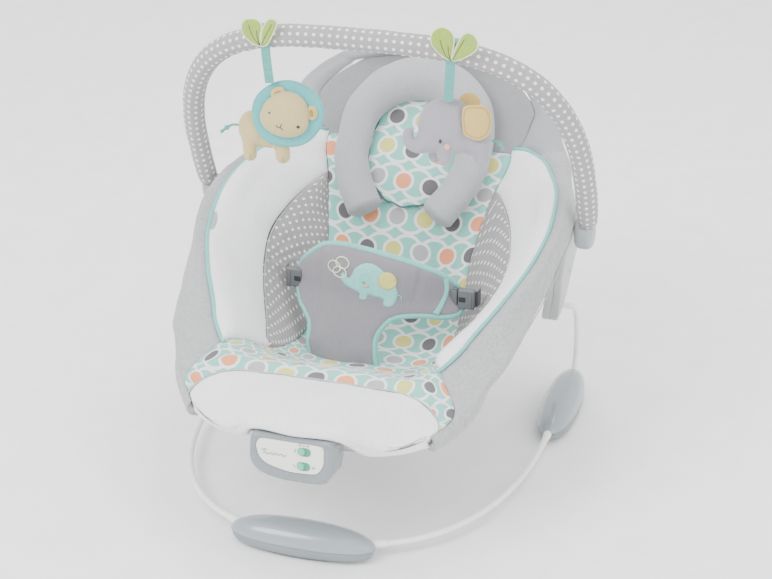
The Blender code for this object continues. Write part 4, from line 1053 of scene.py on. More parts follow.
def bar_points(angles):
    """Centre line of the toy bar, 0 at the right foot and a half turn at the left."""
    power = 2 / BAR_EXP
    cosine, sine = np.cos(angles), np.abs(np.sin(angles))
    x = BAR_HALF * np.sign(cosine) * np.abs(cosine) ** power
    rise = BAR_HEIGHT * sine ** power
    steps = np.stack([x, -rise * math.sin(BAR_LEAN), rise * math.cos(BAR_LEAN)], 1)
    return np.array(BAR_FOOT) + steps


def bar_place(x):
    """Point of the bar's centre line above a given X."""
    cosine = math.copysign(abs(x / BAR_HALF) ** (BAR_EXP / 2), x)
    return Vector(bar_points(np.array([math.acos(cosine)]))[0])


def build_toy_bar():
    """Padded sleeve gathered along its inner seam, and the knuckle at each end."""
    line = through(bar_points(np.linspace(0, math.pi, 160)), 420)
    lift = np.array((0, -math.sin(BAR_LEAN), math.cos(BAR_LEAN)))
    sides = 40
    centre = line.mean(0)
    along = unit(np.gradient(line, axis=0))
    plane = np.cross(np.array((1.0, 0, 0)), lift)
    outward = unit(np.cross(along, plane))
    outward = outward * np.sign(((line - centre) * outward).sum(1, keepdims=True))
    side_way = np.cross(along, outward)
    reach = reach_along(line)
    angle = round_angles(sides)
    inner = np.clip(-np.cos(angle), 0, 1)[None] ** 1.5
    bend = np.linalg.norm(np.gradient(along, reach, axis=0), axis=1)
    bend = np.convolve(bend, np.ones(21) / 21, "same")[:, None] * 0.05
    share = np.clip(bend, 0.15, 1.0)
    u = reach[:, None] * np.ones((1, sides))
    folds = bumps(np.stack([u, np.sin(angle)[None] * 0.004 + u * 0,
                            np.cos(angle)[None] * 0.004 + u * 0], -1), 0.0052, 51.0)
    soft = bumps(np.stack([u, np.sin(angle)[None] * 0.02 + u * 0,
                           np.cos(angle)[None] * 0.02 + u * 0], -1), 0.02, 52.0)
    ends = np.exp(-np.minimum(reach, reach[-1] - reach) / 0.010)[:, None]
    radius = SLEEVE_R - 0.0003 + 0.0017 * folds * (inner * (0.4 + share) + 0.6 * ends)
    radius = radius + 0.0006 * soft - 0.0020 * ends - 0.0008 * inner
    around = (outward[:, None] * np.cos(angle)[None, :, None]
              + side_way[:, None] * np.sin(angle)[None, :, None])
    rows = line[:, None] + around * radius[..., None]
    turn = np.where(angle > math.pi, angle - 2 * math.pi, angle)
    uv = np.stack([np.broadcast_to(turn[None] * SLEEVE_R, u.shape), u], -1)
    sleeve = make("bar_sleeve", rows.reshape(-1, 3), ring_faces(*rows.shape[:2]), SLEEVE,
                  "toy_bar", uv.reshape(-1, 2))
    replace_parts(sleeve, "toy_bar_sleeve")
    seam = line - outward * (SLEEVE_R - 0.0006)
    rod("bar_sleeve_seam", seam[6:-6], 0.0008, STITCH, "toy_bar", 6)
    for side, word in SIDES:
        slope = np.array((0, math.sin(BAR_LEAN), -math.cos(BAR_LEAN)))
        top = np.array((side * 0.2290, 0.0545, 0.2745)) + 0.002 * slope
        levels = []
        a = round_angles(48)
        x = np.sign(np.cos(a)) * np.abs(np.cos(a)) ** 0.6
        y = np.sign(np.sin(a)) * np.abs(np.sin(a)) ** 0.6
        forward = np.cross(np.array((1.0, 0, 0)), slope)
        for depth, wide, deep in ((0.0, 0.0090, 0.0110), (0.0006, 0.0100, 0.0122),
                                  (0.0030, 0.0112, 0.0140), (0.0080, 0.0117, 0.0155),
                                  (0.0200, 0.0117, 0.0160), (0.0270, 0.0113, 0.0155),
                                  (0.0300, 0.0100, 0.0138), (0.0308, 0.0085, 0.0120)):
            level = top + slope * depth + np.array((1.0, 0, 0)) * (x * wide)[:, None] \
                + forward * (y * deep)[:, None]
            levels.append(level)
        piece = loft(f"{word}_knuckle_shell", levels, KNUCKLE_GREY, "toy_bar")
        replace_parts(piece, f"{word}_bar_knuckle")


# ------------------------------------------------------------------ head support

def back_frame(s, lift):
    """A place on the middle of the backrest, with its across, up-the-back and out directions."""
    origin = seat(s, 0.0)
    up = unit(seat(s + 0.05, 0.0) - seat(s - 0.05, 0.0))
    out = unit(np.cross((1.0, 0, 0), up))
    return origin + lift * out, np.array((1.0, 0, 0)), up, out


HEAD_HALF, HEAD_RISE, HEAD_TUBE = 0.0750, 0.0740, 0.0210
HEAD_LEGS = ((0.0745, -0.036), (0.063, -0.068), (0.046, -0.098))


def build_head_support():
    """Stuffed velour horseshoe round an oval insert edged with a dark cord."""
    origin, across, up, out = back_frame(10.05, 0.0205)
    arc = [origin + HEAD_HALF * math.cos(a) * across + HEAD_RISE * math.sin(a) * up
           for a in np.linspace(0, math.pi, 13)]
    right = [origin + u * across + v * up for u, v in HEAD_LEGS]
    left = [origin - u * across + v * up for u, v in HEAD_LEGS]
    path = through(right[::-1] + arc + left, 170)
    f = np.linspace(0, 1, len(path))
    wide = HEAD_TUBE * (1 + 0.30 * np.sin(math.pi * f) ** 5)
    sides = 44
    rows = ring_rows(path, wide, sides, start=out, flat=1.0)
    depth = (rows - path[:, None]) @ out
    rows = rows - (depth * 0.16)[..., None] * out
    rows = rows + unit(rows - path[:, None]) * (0.0011 * bumps(rows, 0.028, 61.0))[..., None]
    creases = np.abs(bumps(np.stack([f * 0.36, f * 0, f * 0], -1), 0.012, 62.0))
    inside = np.clip(-(unit(rows - path[:, None]) @ up), 0, 1)
    rows = rows - unit(rows - path[:, None]) * (0.0010 * creases[:, None] * inside)[..., None]
    levels = [path[0] + (rows[0] - path[0]) * k for k in (0.35, 0.75, 0.93)]
    tail = [path[-1] + (rows[-1] - path[-1]) * k for k in (0.93, 0.75, 0.35)]
    step_first, step_last = unit(path[0] - path[1]), unit(path[-1] - path[-2])
    levels = [level + step_first * d for level, d in zip(levels, (0.0070, 0.0052, 0.0024))]
    tail = [level + step_last * d for level, d in zip(tail, (0.0024, 0.0052, 0.0070))]
    all_rows = np.concatenate([np.array(levels), rows, np.array(tail)])
    pillow_piece = loft("head_pillow_cover", all_rows, PILLOW_VELOUR, "seat")
    pillow_piece.data.shade_smooth()
    puff(pillow_piece, 2.0, 0.002, 10)
    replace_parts(pillow_piece, "head_pillow")
    seam = path - out * 0.012 + unit(np.cross(np.gradient(path, axis=0), out)) * 0.0158
    rod("head_pillow_seam", seam[4:-4], 0.0007, STITCH, "seat", 6)

    centre, across, up, out = back_frame(9.93, 0.0100)
    rings, count = 14, 72
    a = round_angles(count)
    levels, uvs = [], []
    for share in np.linspace(0.02, 1, rings):
        wavy = 1 + 0.016 * share ** 8 * np.sin(a * 15 + 0.8 * np.sin(3 * a))
        reach_u, reach_v = 0.0580 * share * wavy, 0.0740 * share * wavy
        u, v = reach_u * np.cos(a), reach_v * np.sin(a) - 0.008
        rise = 0.0060 * (1 - share ** 3)
        place = centre + u[:, None] * across + v[:, None] * up
        soft = 0.0007 * bumps(place, 0.03, 64.0)
        levels.append(place + (rise + soft)[:, None] * out)
        uvs.append(np.stack([u + 0.0005, v + 0.012], 1))
    edge = levels[-1].copy()
    levels += [edge - 0.0020 * out, edge * 0.999 + 0.001 * centre - 0.0035 * out]
    uvs += [uvs[-1], uvs[-1]]
    flat_back = [centre + (edge - centre) * k - 0.0040 * out for k in (0.6, 0.1)]
    levels += flat_back
    uvs += [uvs[-1], uvs[-1]]
    levels = np.array(levels)
    piece = loft("head_insert_cover", levels, INSERT_PRINT, "seat")
    layer = piece.data.uv_layers.new(name="UVMap")
    index = np.zeros(len(piece.data.loops), np.int32)
    piece.data.loops.foreach_get("vertex_index", index)
    layer.data.foreach_set("uv", np.array(uvs).reshape(-1, 2)[index].astype(np.float32).ravel())
    piece.data.shade_smooth()
    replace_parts(piece, "head_insert")
    rod("head_insert_cord", edge, 0.0012, DARK_TEAL, "seat", 8, closed=True)


# ------------------------------------------------------------------ restraint

RESTRAINT_OUTLINE = (
    (-0.105, 0.184), (-0.096, 0.207), (-0.070, 0.234), (-0.052, 0.242), (-0.028, 0.244),
    (0.010, 0.240),
    (0.050, 0.229), (0.080, 0.210), (0.098, 0.184), (0.099, 0.168), (0.086, 0.165),
    (0.056, 0.168), (0.026, 0.164), (0.010, 0.144), (0.010, 0.120), (0.014, 0.100),
    (-0.004, 0.095), (-0.045, 0.094), (-0.064, 0.100), (-0.072, 0.126), (-0.075, 0.149),
    (-0.096, 0.166))


def restraint_depth(x, z):
    """Y of the restraint's face, bulging over the middle and falling back to the waist straps."""
    middle = -0.0320 - 0.022 * smooth_step(0.19, 0.11, z) + 0.016 * smooth_step(0.215, 0.27, z)
    across = np.clip(np.abs(x + 0.005) / 0.105, 0, 1.1)
    return middle + (0.016 - middle) * across ** 2.3 * smooth_step(0.13, 0.19, z)


def restraint_point(x, z, off=0.0):
    """Points of the restraint's face, pushed forward by off."""
    e = 0.002
    here = restraint_depth(x, z)
    slope_x = (restraint_depth(x + e, z) - here) / e
    slope_z = (restraint_depth(x, z + e) - here) / e
    normal = unit(np.stack([slope_x, -np.ones_like(here), slope_z], -1))
    return np.stack([x, here, z], -1) + normal * np.asarray(off)[..., None]


def flat_region(outline, pitch):
    """Triangles covering a closed outline given in a plane; points, faces and edge numbers."""
    bm = bmesh.new()
    ring = [bm.verts.new((x, y, 0)) for x, y in outline]
    bm.faces.new(ring)
    bmesh.ops.triangulate(bm, faces=bm.faces)
    for _ in range(9):
        long = [e for e in bm.edges if e.calc_length() > pitch * 1.4]
        if not long:
            break
        bmesh.ops.subdivide_edges(bm, edges=long, cuts=1)
        bmesh.ops.triangulate(bm, faces=[f for f in bm.faces if len(f.verts) > 3])
        bmesh.ops.beautify_fill(bm, faces=bm.faces,
                                edges=[e for e in bm.edges if not e.is_boundary])
    inner = [v for v in bm.verts if not v.is_boundary]
    for _ in range(6):
        bmesh.ops.smooth_vert(bm, verts=inner, factor=0.5, use_axis_x=True, use_axis_y=True)
    bm.verts.ensure_lookup_table()
    points = np.array([v.co[:2] for v in bm.verts])
    faces = [[v.index for v in f.verts] for f in bm.faces]
    rim = []
    start = next(e for e in bm.edges if e.is_boundary)
    first, here, edge = start.verts[0], start.verts[1], start
    rim.append(first.index)
    while here is not first:
        rim.append(here.index)
        edge = next(e for e in here.link_edges if e.is_boundary and e is not edge)
        here = edge.other_vert(here)
    bm.free()
    return points, faces, rim


def shaped_sheet(name, outline, surface, thickness, material, body, pitch=0.004, crown=0.0):
    """Closed sheet of an outline laid on a surface function of (x, z, off)."""
    points, faces, rim = flat_region(outline, pitch)
    x, z = points[:, 0], points[:, 1]
    edge = points[rim]
    if crown:
        gap = np.sqrt(((points[:, None] - edge[None]) ** 2).sum(-1)).min(1)
        rise = crown * np.sqrt(np.clip(1 - (1 - np.clip(gap / (3 * crown), 0, 1)) ** 2, 0, 1))
    else:
        rise = np.zeros(len(x))
    front = surface(x, z, rise)
    back = surface(x, z, np.full(len(x), -thickness))
    count = len(points)
    sheets = [tuple(f) for f in faces] + [tuple(i + count for i in f[::-1]) for f in faces]
    sheets += [(a, b, b + count, a + count) for a, b in zip(rim, rim[1:] + rim[:1])]
    uv = np.concatenate([points, points])
    return make(name, np.concatenate([front, back]), sheets, material, body, uv)


def outline_curve(outline, count):
    """Smooth closed curve through an outline's points."""
    points = np.array([(x, z, 0.0) for x, z in outline])
    loop = np.concatenate([points, points[:1]])
    n = len(points)
    wrapped = np.concatenate([points[-1:], loop, points[1:2]])
    return evenly(spline(wrapped, np.linspace(1, n + 1, count * 8 + 1)), count, True)[:, :2]


def build_restraint():
    """Grey crotch panel with teal binding, its printed elephant, webbing and buckles."""
    curve = outline_curve(RESTRAINT_OUTLINE, 180)
    dimples = lambda x, z, off: restraint_point(
        x, z, off + 0.0011 * bumps(np.stack([x, z, x * 0], -1), 0.030, 71.0)
        - 0.0016 * np.exp(-((x - 0.052 - 0.15 * (z - 0.2)) / 0.0035) ** 2)
        * smooth_step(0.175, 0.20, z) - 0.0012 * np.exp(-((x + 0.062) / 0.004) ** 2))
    piece = shaped_sheet("restraint_cover", curve, dimples, 0.0058, RESTRAINT, "seat", 0.0042,
                         0.0026)
    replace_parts(piece, "restraint_panel")
    binding = restraint_point(curve[:, 0], curve[:, 1], np.full(len(curve), -0.0022))
    normal = restraint_point(curve[:, 0], curve[:, 1], np.full(len(curve), -0.0012)) - binding
    rod("restraint_binding", binding, 0.0040, TEAL, "seat", 12, closed=True,
        start=normal[0] * 1000, flat=0.86)
    cross = np.array([(0.0800, 0.2085), (0.0800, 0.194), (0.0770, 0.180), (0.0730, 0.1680)])
    line = through([(x, z, 0) for x, z in cross], 30)
    rod("restraint_cross_binding", restraint_point(line[:, 0], line[:, 1], np.full(30, 0.0024)),
        0.0038, TEAL, "seat", 12, flat=0.45, start=(1, 0, 0))
    build_applique()
    for side, word in SIDES:
        buckle_parts(side, word)


def build_applique():
    """Flat elephant and three linked rings on the restraint."""
    def place(cx, cz, scale):
        turned, slope = 0.995 * scale, 0.10 * scale
        return lambda x, z, off: restraint_point(cx + x * turned + z * slope,
                                                 cz + z * turned - x * slope, off + 0.0033)
    body = [(-0.0255, 0.0065), (-0.0225, 0.0075), (-0.0205, 0.0045), (-0.0185, 0.0035),
            (-0.0165, 0.0075), (-0.0135, 0.0145), (-0.0060, 0.0200), (0.0030, 0.0205),
            (0.0110, 0.0165), (0.0190, 0.0100), (0.0240, 0.0010), (0.0250, -0.0060),
            (0.0225, -0.0140), (0.0180, -0.0160), (0.0140, -0.0145), (0.0135, -0.0095),
            (0.0060, -0.0085), (-0.0005, -0.0085), (-0.0010, -0.0120), (-0.0045, -0.0140),
            (-0.0080, -0.0125), (-0.0080, -0.0080), (-0.0150, -0.0060), (-0.0210, -0.0040),
            (-0.0260, 0.0005)]
    centre = (-0.0020, 0.2010)
    surface = place(*centre, 1.33)
    shaped_sheet("print_elephant", outline_curve(body, 90), surface, 0.0004, AQUA_PRINT, "seat",
                 0.003)
    ear = [(0.0150 + 0.0080 * math.cos(a), 0.0085 + 0.0080 * math.sin(a))
           for a in round_angles(12)]
    lifted = lambda x, z, off: surface(x, z, off + 0.0005)
    shaped_sheet("print_elephant_ear", outline_curve(ear, 48), lifted, 0.0004, YELLOW_PRINT,
                 "seat", 0.003)
    for name, (u, v), r, ink in (("print_elephant_eye", (-0.0050, 0.0030), 0.0010, ICON_INK),
                                 ("print_elephant_cheek", (-0.0020, 0.0002), 0.0018, PEACH)):
        dot = [(u + r * math.cos(a), v + r * math.sin(a))
               for a in round_angles(12)]
        shaped_sheet(name, dot, lifted, 0.0004, ink, "seat", 0.003)
    tail = through([(0.0240, -0.0030, 0), (0.0275, -0.0040, 0), (0.0285, -0.0085, 0)], 14)
    rod("print_elephant_tail", surface(tail[:, 0], tail[:, 1], np.full(14, 0.0004)), 0.0006,
        AQUA_PRINT, "seat", 6)
    a = round_angles(48)
    for k, (u, v, ru, rv) in enumerate(((-0.0425, 0.0175, 0.0078, 0.0066),
                                        (-0.0325, 0.0238, 0.0080, 0.0062),
                                        (-0.0355, 0.0125, 0.0082, 0.0064))):
        x, z = centre[0] + u + ru * np.cos(a), centre[1] + v + rv * np.sin(a)
        rod(f"print_ring_{k + 1}", restraint_point(x, z, np.full(48, 0.0036)), 0.0008,
            LEAF_EDGE, "seat", 6, closed=True)


def block(name, size, centre, material, body, bevel=0.001, segments=4, matrix=None):
    """Rounded rectangular block."""
    bm = bmesh.new()
    bmesh.ops.create_cube(bm, size=1.0)
    bmesh.ops.scale(bm, vec=Vector(size), verts=bm.verts)
    bmesh.ops.bevel(bm, geom=list(bm.edges), offset=bevel, segments=segments, profile=0.6,
                    affect="EDGES")
    bmesh.ops.translate(bm, vec=Vector(centre), verts=bm.verts)
    if matrix is not None:
        bmesh.ops.transform(bm, matrix=matrix, verts=bm.verts)
    points = [tuple(v.co) for v in bm.verts]
    faces = [[v.index for v in f.verts] for f in bm.faces]
    bm.free()
    obj = make(name, points, faces, material, body)
    obj.data.set_sharp_from_angle(angle=math.radians(50))
    return obj


def strap(name, path, width, thick, material, body, side_way):
    """Flat strap along a path, its width along side_way; UVs run along it."""
    path = np.asarray(path, float)
    along = unit(np.gradient(path, axis=0))
    wide = np.broadcast_to(np.asarray(side_way, float), path.shape)
    wide = unit(wide - (wide * along).sum(1, keepdims=True) * along)
    up = np.cross(along, wide)
    corner = ((-1, -1), (-0.97, -1.0), (0.97, -1.0), (1, -1), (1, 1), (0.97, 1.0), (-0.97, 1.0),
              (-1, 1))
    rows = np.stack([path + wide * (width / 2 * a) + up * (thick / 2 * b) for a, b in corner], 1)
    shape = rows.shape[:2]
    u = np.array([a * width / 2 for a, _ in corner])
    uv = np.stack([np.broadcast_to(u, shape),
                   np.broadcast_to(reach_along(path)[:, None], shape)], -1)
    obj = make(name, rows.reshape(-1, 3), ring_faces(*shape), material, body, uv.reshape(-1, 2))
    obj.data.set_sharp_from_angle(angle=math.radians(35))
    return obj


def buckle_parts(side, word):
    """Side-release buckle: plug on the panel's webbing, socket on the waist strap."""
    y, z = 0.001, 0.184
    turn = Matrix.Identity(4)
    body = f"{word}_buckle"
    socket = block(f"{word}_socket_shell", (0.0200, 0.0088, 0.0246), (side * 0.1055, y, z), BUCKLE,
                   body, 0.0024, 4, turn)
    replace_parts(socket, f"{word}_buckle_socket")
    block(f"{word}_socket_rib", (0.0030, 0.0012, 0.0180), (side * 0.1110, y - 0.0047, z), BUCKLE,
          body, 0.0005, 2)
    # dark sheet painted as the shade seen through the socket's window
    block(f"{word}_socket_window_shade", (0.0080, 0.0006, 0.0060), (side * 0.1010, y - 0.0045, z),
          SOCKET_SHADOW_FILL, body, 0.0002, 2)
    plug = block(f"{word}_plug_shell", (0.0115, 0.0058, 0.0200), (side * 0.0888, y, z), BUCKLE,
                 "seat", 0.0016, 3)
    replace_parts(plug, f"{word}_buckle_plug")
    for way in (-1, 1):
        block(f"{word}_plug_arm_{'low' if way < 0 else 'high'}", (0.0040, 0.0040, 0.0022),
              (side * 0.0920, y, z + way * 0.0112), BUCKLE, "seat", 0.0006, 2)
    path = through([(side * 0.0905, y + 0.0005, z), (side * 0.0840, y + 0.001, z),
                    (side * 0.0760, y + 0.0015, z - 0.001),
                    (side * 0.0660, y + 0.003, z - 0.002)], 16)
    strap(f"{word}_panel_webbing", path, 0.0165, 0.0014, BLACK_WEB, "seat", (0, 0, 1))
    path = through([(side * 0.1135, y + 0.0010, z), (side * 0.1165, y + 0.0020, z),
                    (side * 0.1180, y + 0.0060, z), (side * 0.1182, y + 0.0140, z)], 24)
    piece = strap(f"{word}_waist_webbing", path, 0.0195, 0.0015, BLACK_WEB, body, (0, 0, 1))
    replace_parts(piece, f"{word}_waist_strap")


# ------------------------------------------------------------------ toys

def facing(yaw, pitch):
    """Right, up and forward directions of something that looks back at the viewer."""
    yaw, pitch = math.radians(yaw), math.radians(pitch)
    front = np.array((math.sin(yaw) * math.cos(pitch), -math.cos(yaw) * math.cos(pitch),
                      math.sin(pitch)))
    right = np.array((math.cos(yaw), math.sin(yaw), 0.0))
    return np.stack([right, np.cross(front, right), front])


def rolled(axes, degrees):
    """The same directions turned clockwise as seen from in front."""
    a = math.radians(degrees)
    right, up, front = axes
    return np.stack([math.cos(a) * right - math.sin(a) * up,
                     math.sin(a) * right + math.cos(a) * up, front])


def blob(name, shapes, origin, axes, material, body, voxel=0.0013, rounds=4):
    """Stuffed shape: balls, each a centre and three radii in millimetres, blended into one."""
    bm = bmesh.new()
    for centre, radii in shapes:
        made = bmesh.ops.create_icosphere(bm, subdivisions=3, radius=1.0)["verts"]
        bmesh.ops.scale(bm, vec=Vector(radii) * 0.001, verts=made)
        bmesh.ops.translate(bm, vec=Vector(centre) * 0.001, verts=made)
    points = np.array([v.co[:] for v in bm.verts]) @ axes + origin
    faces = [[v.index for v in f.verts] for f in bm.faces]
    bm.free()
    obj = make(name, points, faces, material, body)
    remesh = obj.modifiers.new("remesh", "REMESH")
    remesh.mode = "VOXEL"
    remesh.voxel_size = voxel
    remesh.use_smooth_shade = True
    smooth = obj.modifiers.new("smooth", "SMOOTH")
    smooth.factor, smooth.iterations = 0.6, rounds
    return apply_modifiers(obj)


def chain(points, radii, steps=6):
    """Balls along a line, for a limb."""
    path = through(points, steps)
    sizes = np.interp(np.linspace(0, 1, steps), np.linspace(0, 1, len(radii)), radii)
    return [(tuple(p), (r, r, r)) for p, r in zip(path, sizes)]


def on_toy(points, origin, axes):
    return np.asarray(points, float) * 0.001 @ axes + origin


def knotted_tail(name, points, origin, axes, body):
    """Teal cord with a knot near its end and a splayed tip."""
    path = on_toy(through(points, 40), origin, axes)
    f = np.linspace(0, 1, 40)
    radii = 0.0014 + 0.0017 * np.exp(-((f - 0.70) / 0.10) ** 2) + 0.0008 * smooth_step(0.86, 1, f)
    rod(name, path, radii, RIBBON, body, 10, round_ends=True)


def patch(name, outline, origin, axes, height, thick, material, body, crown=0.0):
    """Flat patch of an outline in millimetres, laid at a height function over a toy's face."""
    def surface(x, z, off):
        x, z = np.asarray(x), np.asarray(z)
        local = np.stack([x, z, height(x * 1000, z * 1000) * 0.001 + off], -1)
        return local @ axes + origin
    curve = outline_curve([(u * 0.001, v * 0.001) for u, v in outline], 64)
    return shaped_sheet(name, curve, surface, thick, material, body, 0.0022, crown)


def oval(cx, cy, rx, ry):
    a = round_angles(16)
    return list(zip(cx + rx * np.cos(a), cy + ry * np.sin(a)))


def thread(name, points, origin, axes, body, radius=0.00045, material=None):
    """Stitched line on a toy's face."""
    path = on_toy(through(points, 18), origin, axes)
    rod(name, path, radius, material or DARK_STITCH, body, 6, round_ends=True)


def build_lion():
    """Lion: flat teal mane behind a stuffed tan head, body and legs behind, knotted tail."""
    place = np.array(bar_place(-0.117)) + np.array((0.030, -0.016, -0.0815))
    level = facing(14, 14)
    body_shapes = [((-34, -19, -20), (23, 20, 15)), ((-20, -25, -18), (20, 15, 13)),
                   ((-42, -17, -20), (15, 19, 13)), ((-28, -13, -20), (22, 16, 13))]
    body_shapes += chain([(-43, -25, -19), (-44, -38, -17), (-43, -47, -16)], (11, 8.0, 7.6))
    body_shapes += chain([(-12, -28, -16), (-7, -38, -13), (-6, -48, -11)], (12, 8.6, 8.4))
    body = blob("lion_body_plush", body_shapes, place, level, TAN, "lion")
    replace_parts(body, "lion_body")
    for k, path in enumerate((((-41.5, -52.5, -10.5), (-41.5, -50.0, -8.0), (-41.5, -46.0, -8.0)),
                              ((-5.0, -53.5, -4.5), (-5.0, -51.0, -2.5), (-5.0, -47.0, -2.0)))):
        thread(f"lion_paw_seam_{k + 1}", path, place, level, "lion", 0.0003, TAN_THREAD)

    mane_outline = [(40.4 * math.cos(a) * (1 + 0.012 * math.sin(3 * a + 1)),
                     37.2 * math.sin(a) * (1 + 0.012 * math.sin(5 * a)))
                    for a in round_angles(28)]
    wave = lambda u, v: (
        -3.5 + 1.1 * np.sin(np.arctan2(v, u) * 5 + 0.6) * (np.hypot(u, v) / 38) ** 3
        + 1.4 * (np.hypot(u, v) / 38) ** 2)
    mane = patch("lion_mane", mane_outline, place, level, wave, 0.0030, MANE, "lion", 0.0016)
    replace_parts(mane, "lion_head")
    seam = through([(u * 0.955, v * 0.955, 0) for u, v in mane_outline + mane_outline[:1]], 90)
    seam[:, 2] = wave(seam[:, 0], seam[:, 1]) + 1.1
    rod("lion_mane_seam", on_toy(seam, place, level), 0.0003, RIBBON, "lion", 6)

    axes = rolled(level, 13)
    head_shapes = [((-2, -1, 1.5), (27.0, 23.0, 11.5)), ((-2, -6, 2.0), (27.8, 20.0, 11.5)),
                   ((-1, 5, 1.5), (23.5, 20.5, 10.5))]
    head = blob("lion_head_plush", head_shapes, place, axes, TAN, "lion", 0.0012, 5)
    dome = lambda u, v: 2.0 + 11.4 * np.sqrt(np.clip(
        1 - ((u + 2) / 28.5) ** 2 - ((v + 3) / 25.0) ** 2, 0.02, 1))
    for name, (u, v), tilt in (("lion_left_ear", (-15.5, 20.5), 38),
                               ("lion_right_ear", (26.0, 8.0), -72)):
        outline = [(u + 8.2 * (math.cos(a) * math.cos(math.radians(tilt))
                               - 0.80 * math.sin(a) * math.sin(math.radians(tilt))),
                    v + 8.2 * (math.cos(a) * math.sin(math.radians(tilt))
                               + 0.80 * math.sin(a) * math.cos(math.radians(tilt))))
                   for a in round_angles(18)]
        ear = patch(name, outline, place, axes, lambda x, z: 1.2 + 0 * x, 0.0026, TAN, "lion",
                    0.0013)
        inner = [(u + 0.62 * (p - u), v + 0.62 * (q - v)) for p, q in outline]
        patch(f"{name}_lining", inner, place, axes, lambda x, z: 2.5 + 0 * x, 0.0004, EAR_TAN,
              "lion")
    for name, (u, v), r, ink in (("lion_left_eye", (-19.0, -1.8), 1.1, DARK_STITCH),
                                 ("lion_right_eye", (15.5, -9.5), 1.9, DARK_STITCH),
                                 ("lion_nose", (-2.0, -8.6), 2.2, PEACH)):
        patch(name, oval(u, v, r, r * 0.92), place, axes, lambda x, z: dome(x, z) + 0.3, 0.0005,
              ink, "lion", 0.0003)
    for k, points in enumerate((((-2.6, -10.4), (-3.2, -12.4), (-3.8, -14.0)),
                                ((-3.8, -14.0), (-6.2, -15.0), (-8.4, -13.0)),
                                ((-3.8, -14.0), (-2.0, -15.6), (0.2, -16.6)))):
        path = [(u, v, float(dome(np.array(u), np.array(v))) + 0.35) for u, v in points]
        thread(f"lion_mouth_{k + 1}", path, place, axes, "lion", 0.0004)
    knotted_tail("lion_tail", [(-54, -15, -20), (-63, -14.5, -19), (-70, -18, -18),
                               (-75, -22, -17)], place, level, "lion")


def build_elephant():
    """Elephant: stuffed body with a curled trunk, stitched tan ears and a knotted tail."""
    place = np.array(bar_place(0.098)) + np.array((0.0013, -0.0118, -0.0847))
    axes = facing(12, 12)
    shapes = [((-5, 6, 0), (31.5, 30.5, 17)), ((-18, -10, 1), (20, 14.5, 14)),
              ((15, 4, -1), (25, 22, 15)), ((24, -8, -1), (20.5, 18.5, 14.5)),
              ((6, -10, 0), (22, 15.5, 14))]
    shapes += chain([(-26, -15, 3), (-35, -17, 4), (-43, -14.5, 4), (-46.5, -8, 4),
                     (-45.5, -2.5, 4)], (9.5, 8.8, 7.4, 6.6, 5.8), 10)
    shapes += chain([(-6, -20, 5), (-6, -27, 5.5), (-6, -30.5, 6)], (9.5, 8.0, 7.8))
    shapes += chain([(-17, -20, -5), (-17, -26, -5), (-17, -29.5, -5)], (8.5, 7.4, 7.2))
    shapes += chain([(31, -16, 3), (33.5, -25, 4), (33.8, -29.5, 4)], (12, 9.0, 8.3))
    body = blob("elephant_plush", shapes, place, axes, LILAC, "elephant")
    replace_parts(body, "elephant_body", "elephant_head")

    front_ear = [(11.9, 24.1), (13.5, 28.2), (19.2, 30.2), (27.3, 30.4), (32.2, 30.6),
                 (37.8, 28.2), (41.9, 21.7), (43.9, 14.4), (43.1, 5.5), (40.7, -1.8),
                 (35.4, -6.3), (29.7, -7.9), (22.4, -6.3), (15.9, -2.6), (13.5, 0.6),
                 (12.3, 8.7), (11.5, 16.9)]
    hang = lambda u, v: 17.0 + 1.4 * np.sin((u - 12) / 30 * math.pi) - 0.0050 * (u - 12) ** 2 \
        + 0.5 * np.sin(v / 6.0)
    ear = patch("elephant_front_ear", front_ear, place, axes, hang, 0.0016, EAR_TAN, "elephant",
                0.0009)
    middle = np.mean(front_ear, 0)
    inner = [tuple(middle + (np.array(p) - middle) * 0.84) for p in front_ear]
    seam = through([(*p, 0) for p in inner + inner[:1]], 80)
    seam[:, 2] = hang(seam[:, 0], seam[:, 1]) + 0.95
    rod("elephant_ear_seam", on_toy(seam, place, axes), 0.00035, EAR_THREAD, "elephant", 6)
    back_ear = [(7.8, 34.5), (11.1, 38.7), (17.2, 40.8), (23.2, 40.0), (28.1, 36.3),
                (30.5, 31.4), (28, 24), (18, 21), (9, 26)]
    behind = lambda u, v: -3.0 + 0.6 * np.sin(u / 5)
    piece = patch("elephant_back_ear", back_ear, place, axes, behind, 0.0016, EAR_TAN, "elephant",
                  0.0008)
    face = lambda u, v: 15.2 + 0 * u
    patch("elephant_eye", oval(-10.8, -9.9, 1.5, 2.2), place, axes,
          face, 0.0060, DARK_STITCH, "elephant", 0.0003)
    patch("elephant_cheek", oval(-3.5, -15.6, 3.0, 3.4), place, axes,
          lambda u, v: face(u, v) - 0.6, 0.0060, PEACH, "elephant", 0.0002)
    knotted_tail("elephant_tail", [(40, -8, -1), (46, -10, 0), (51.6, -11.5, 0), (55.6, -18, 0)],
                 place, axes, "elephant")


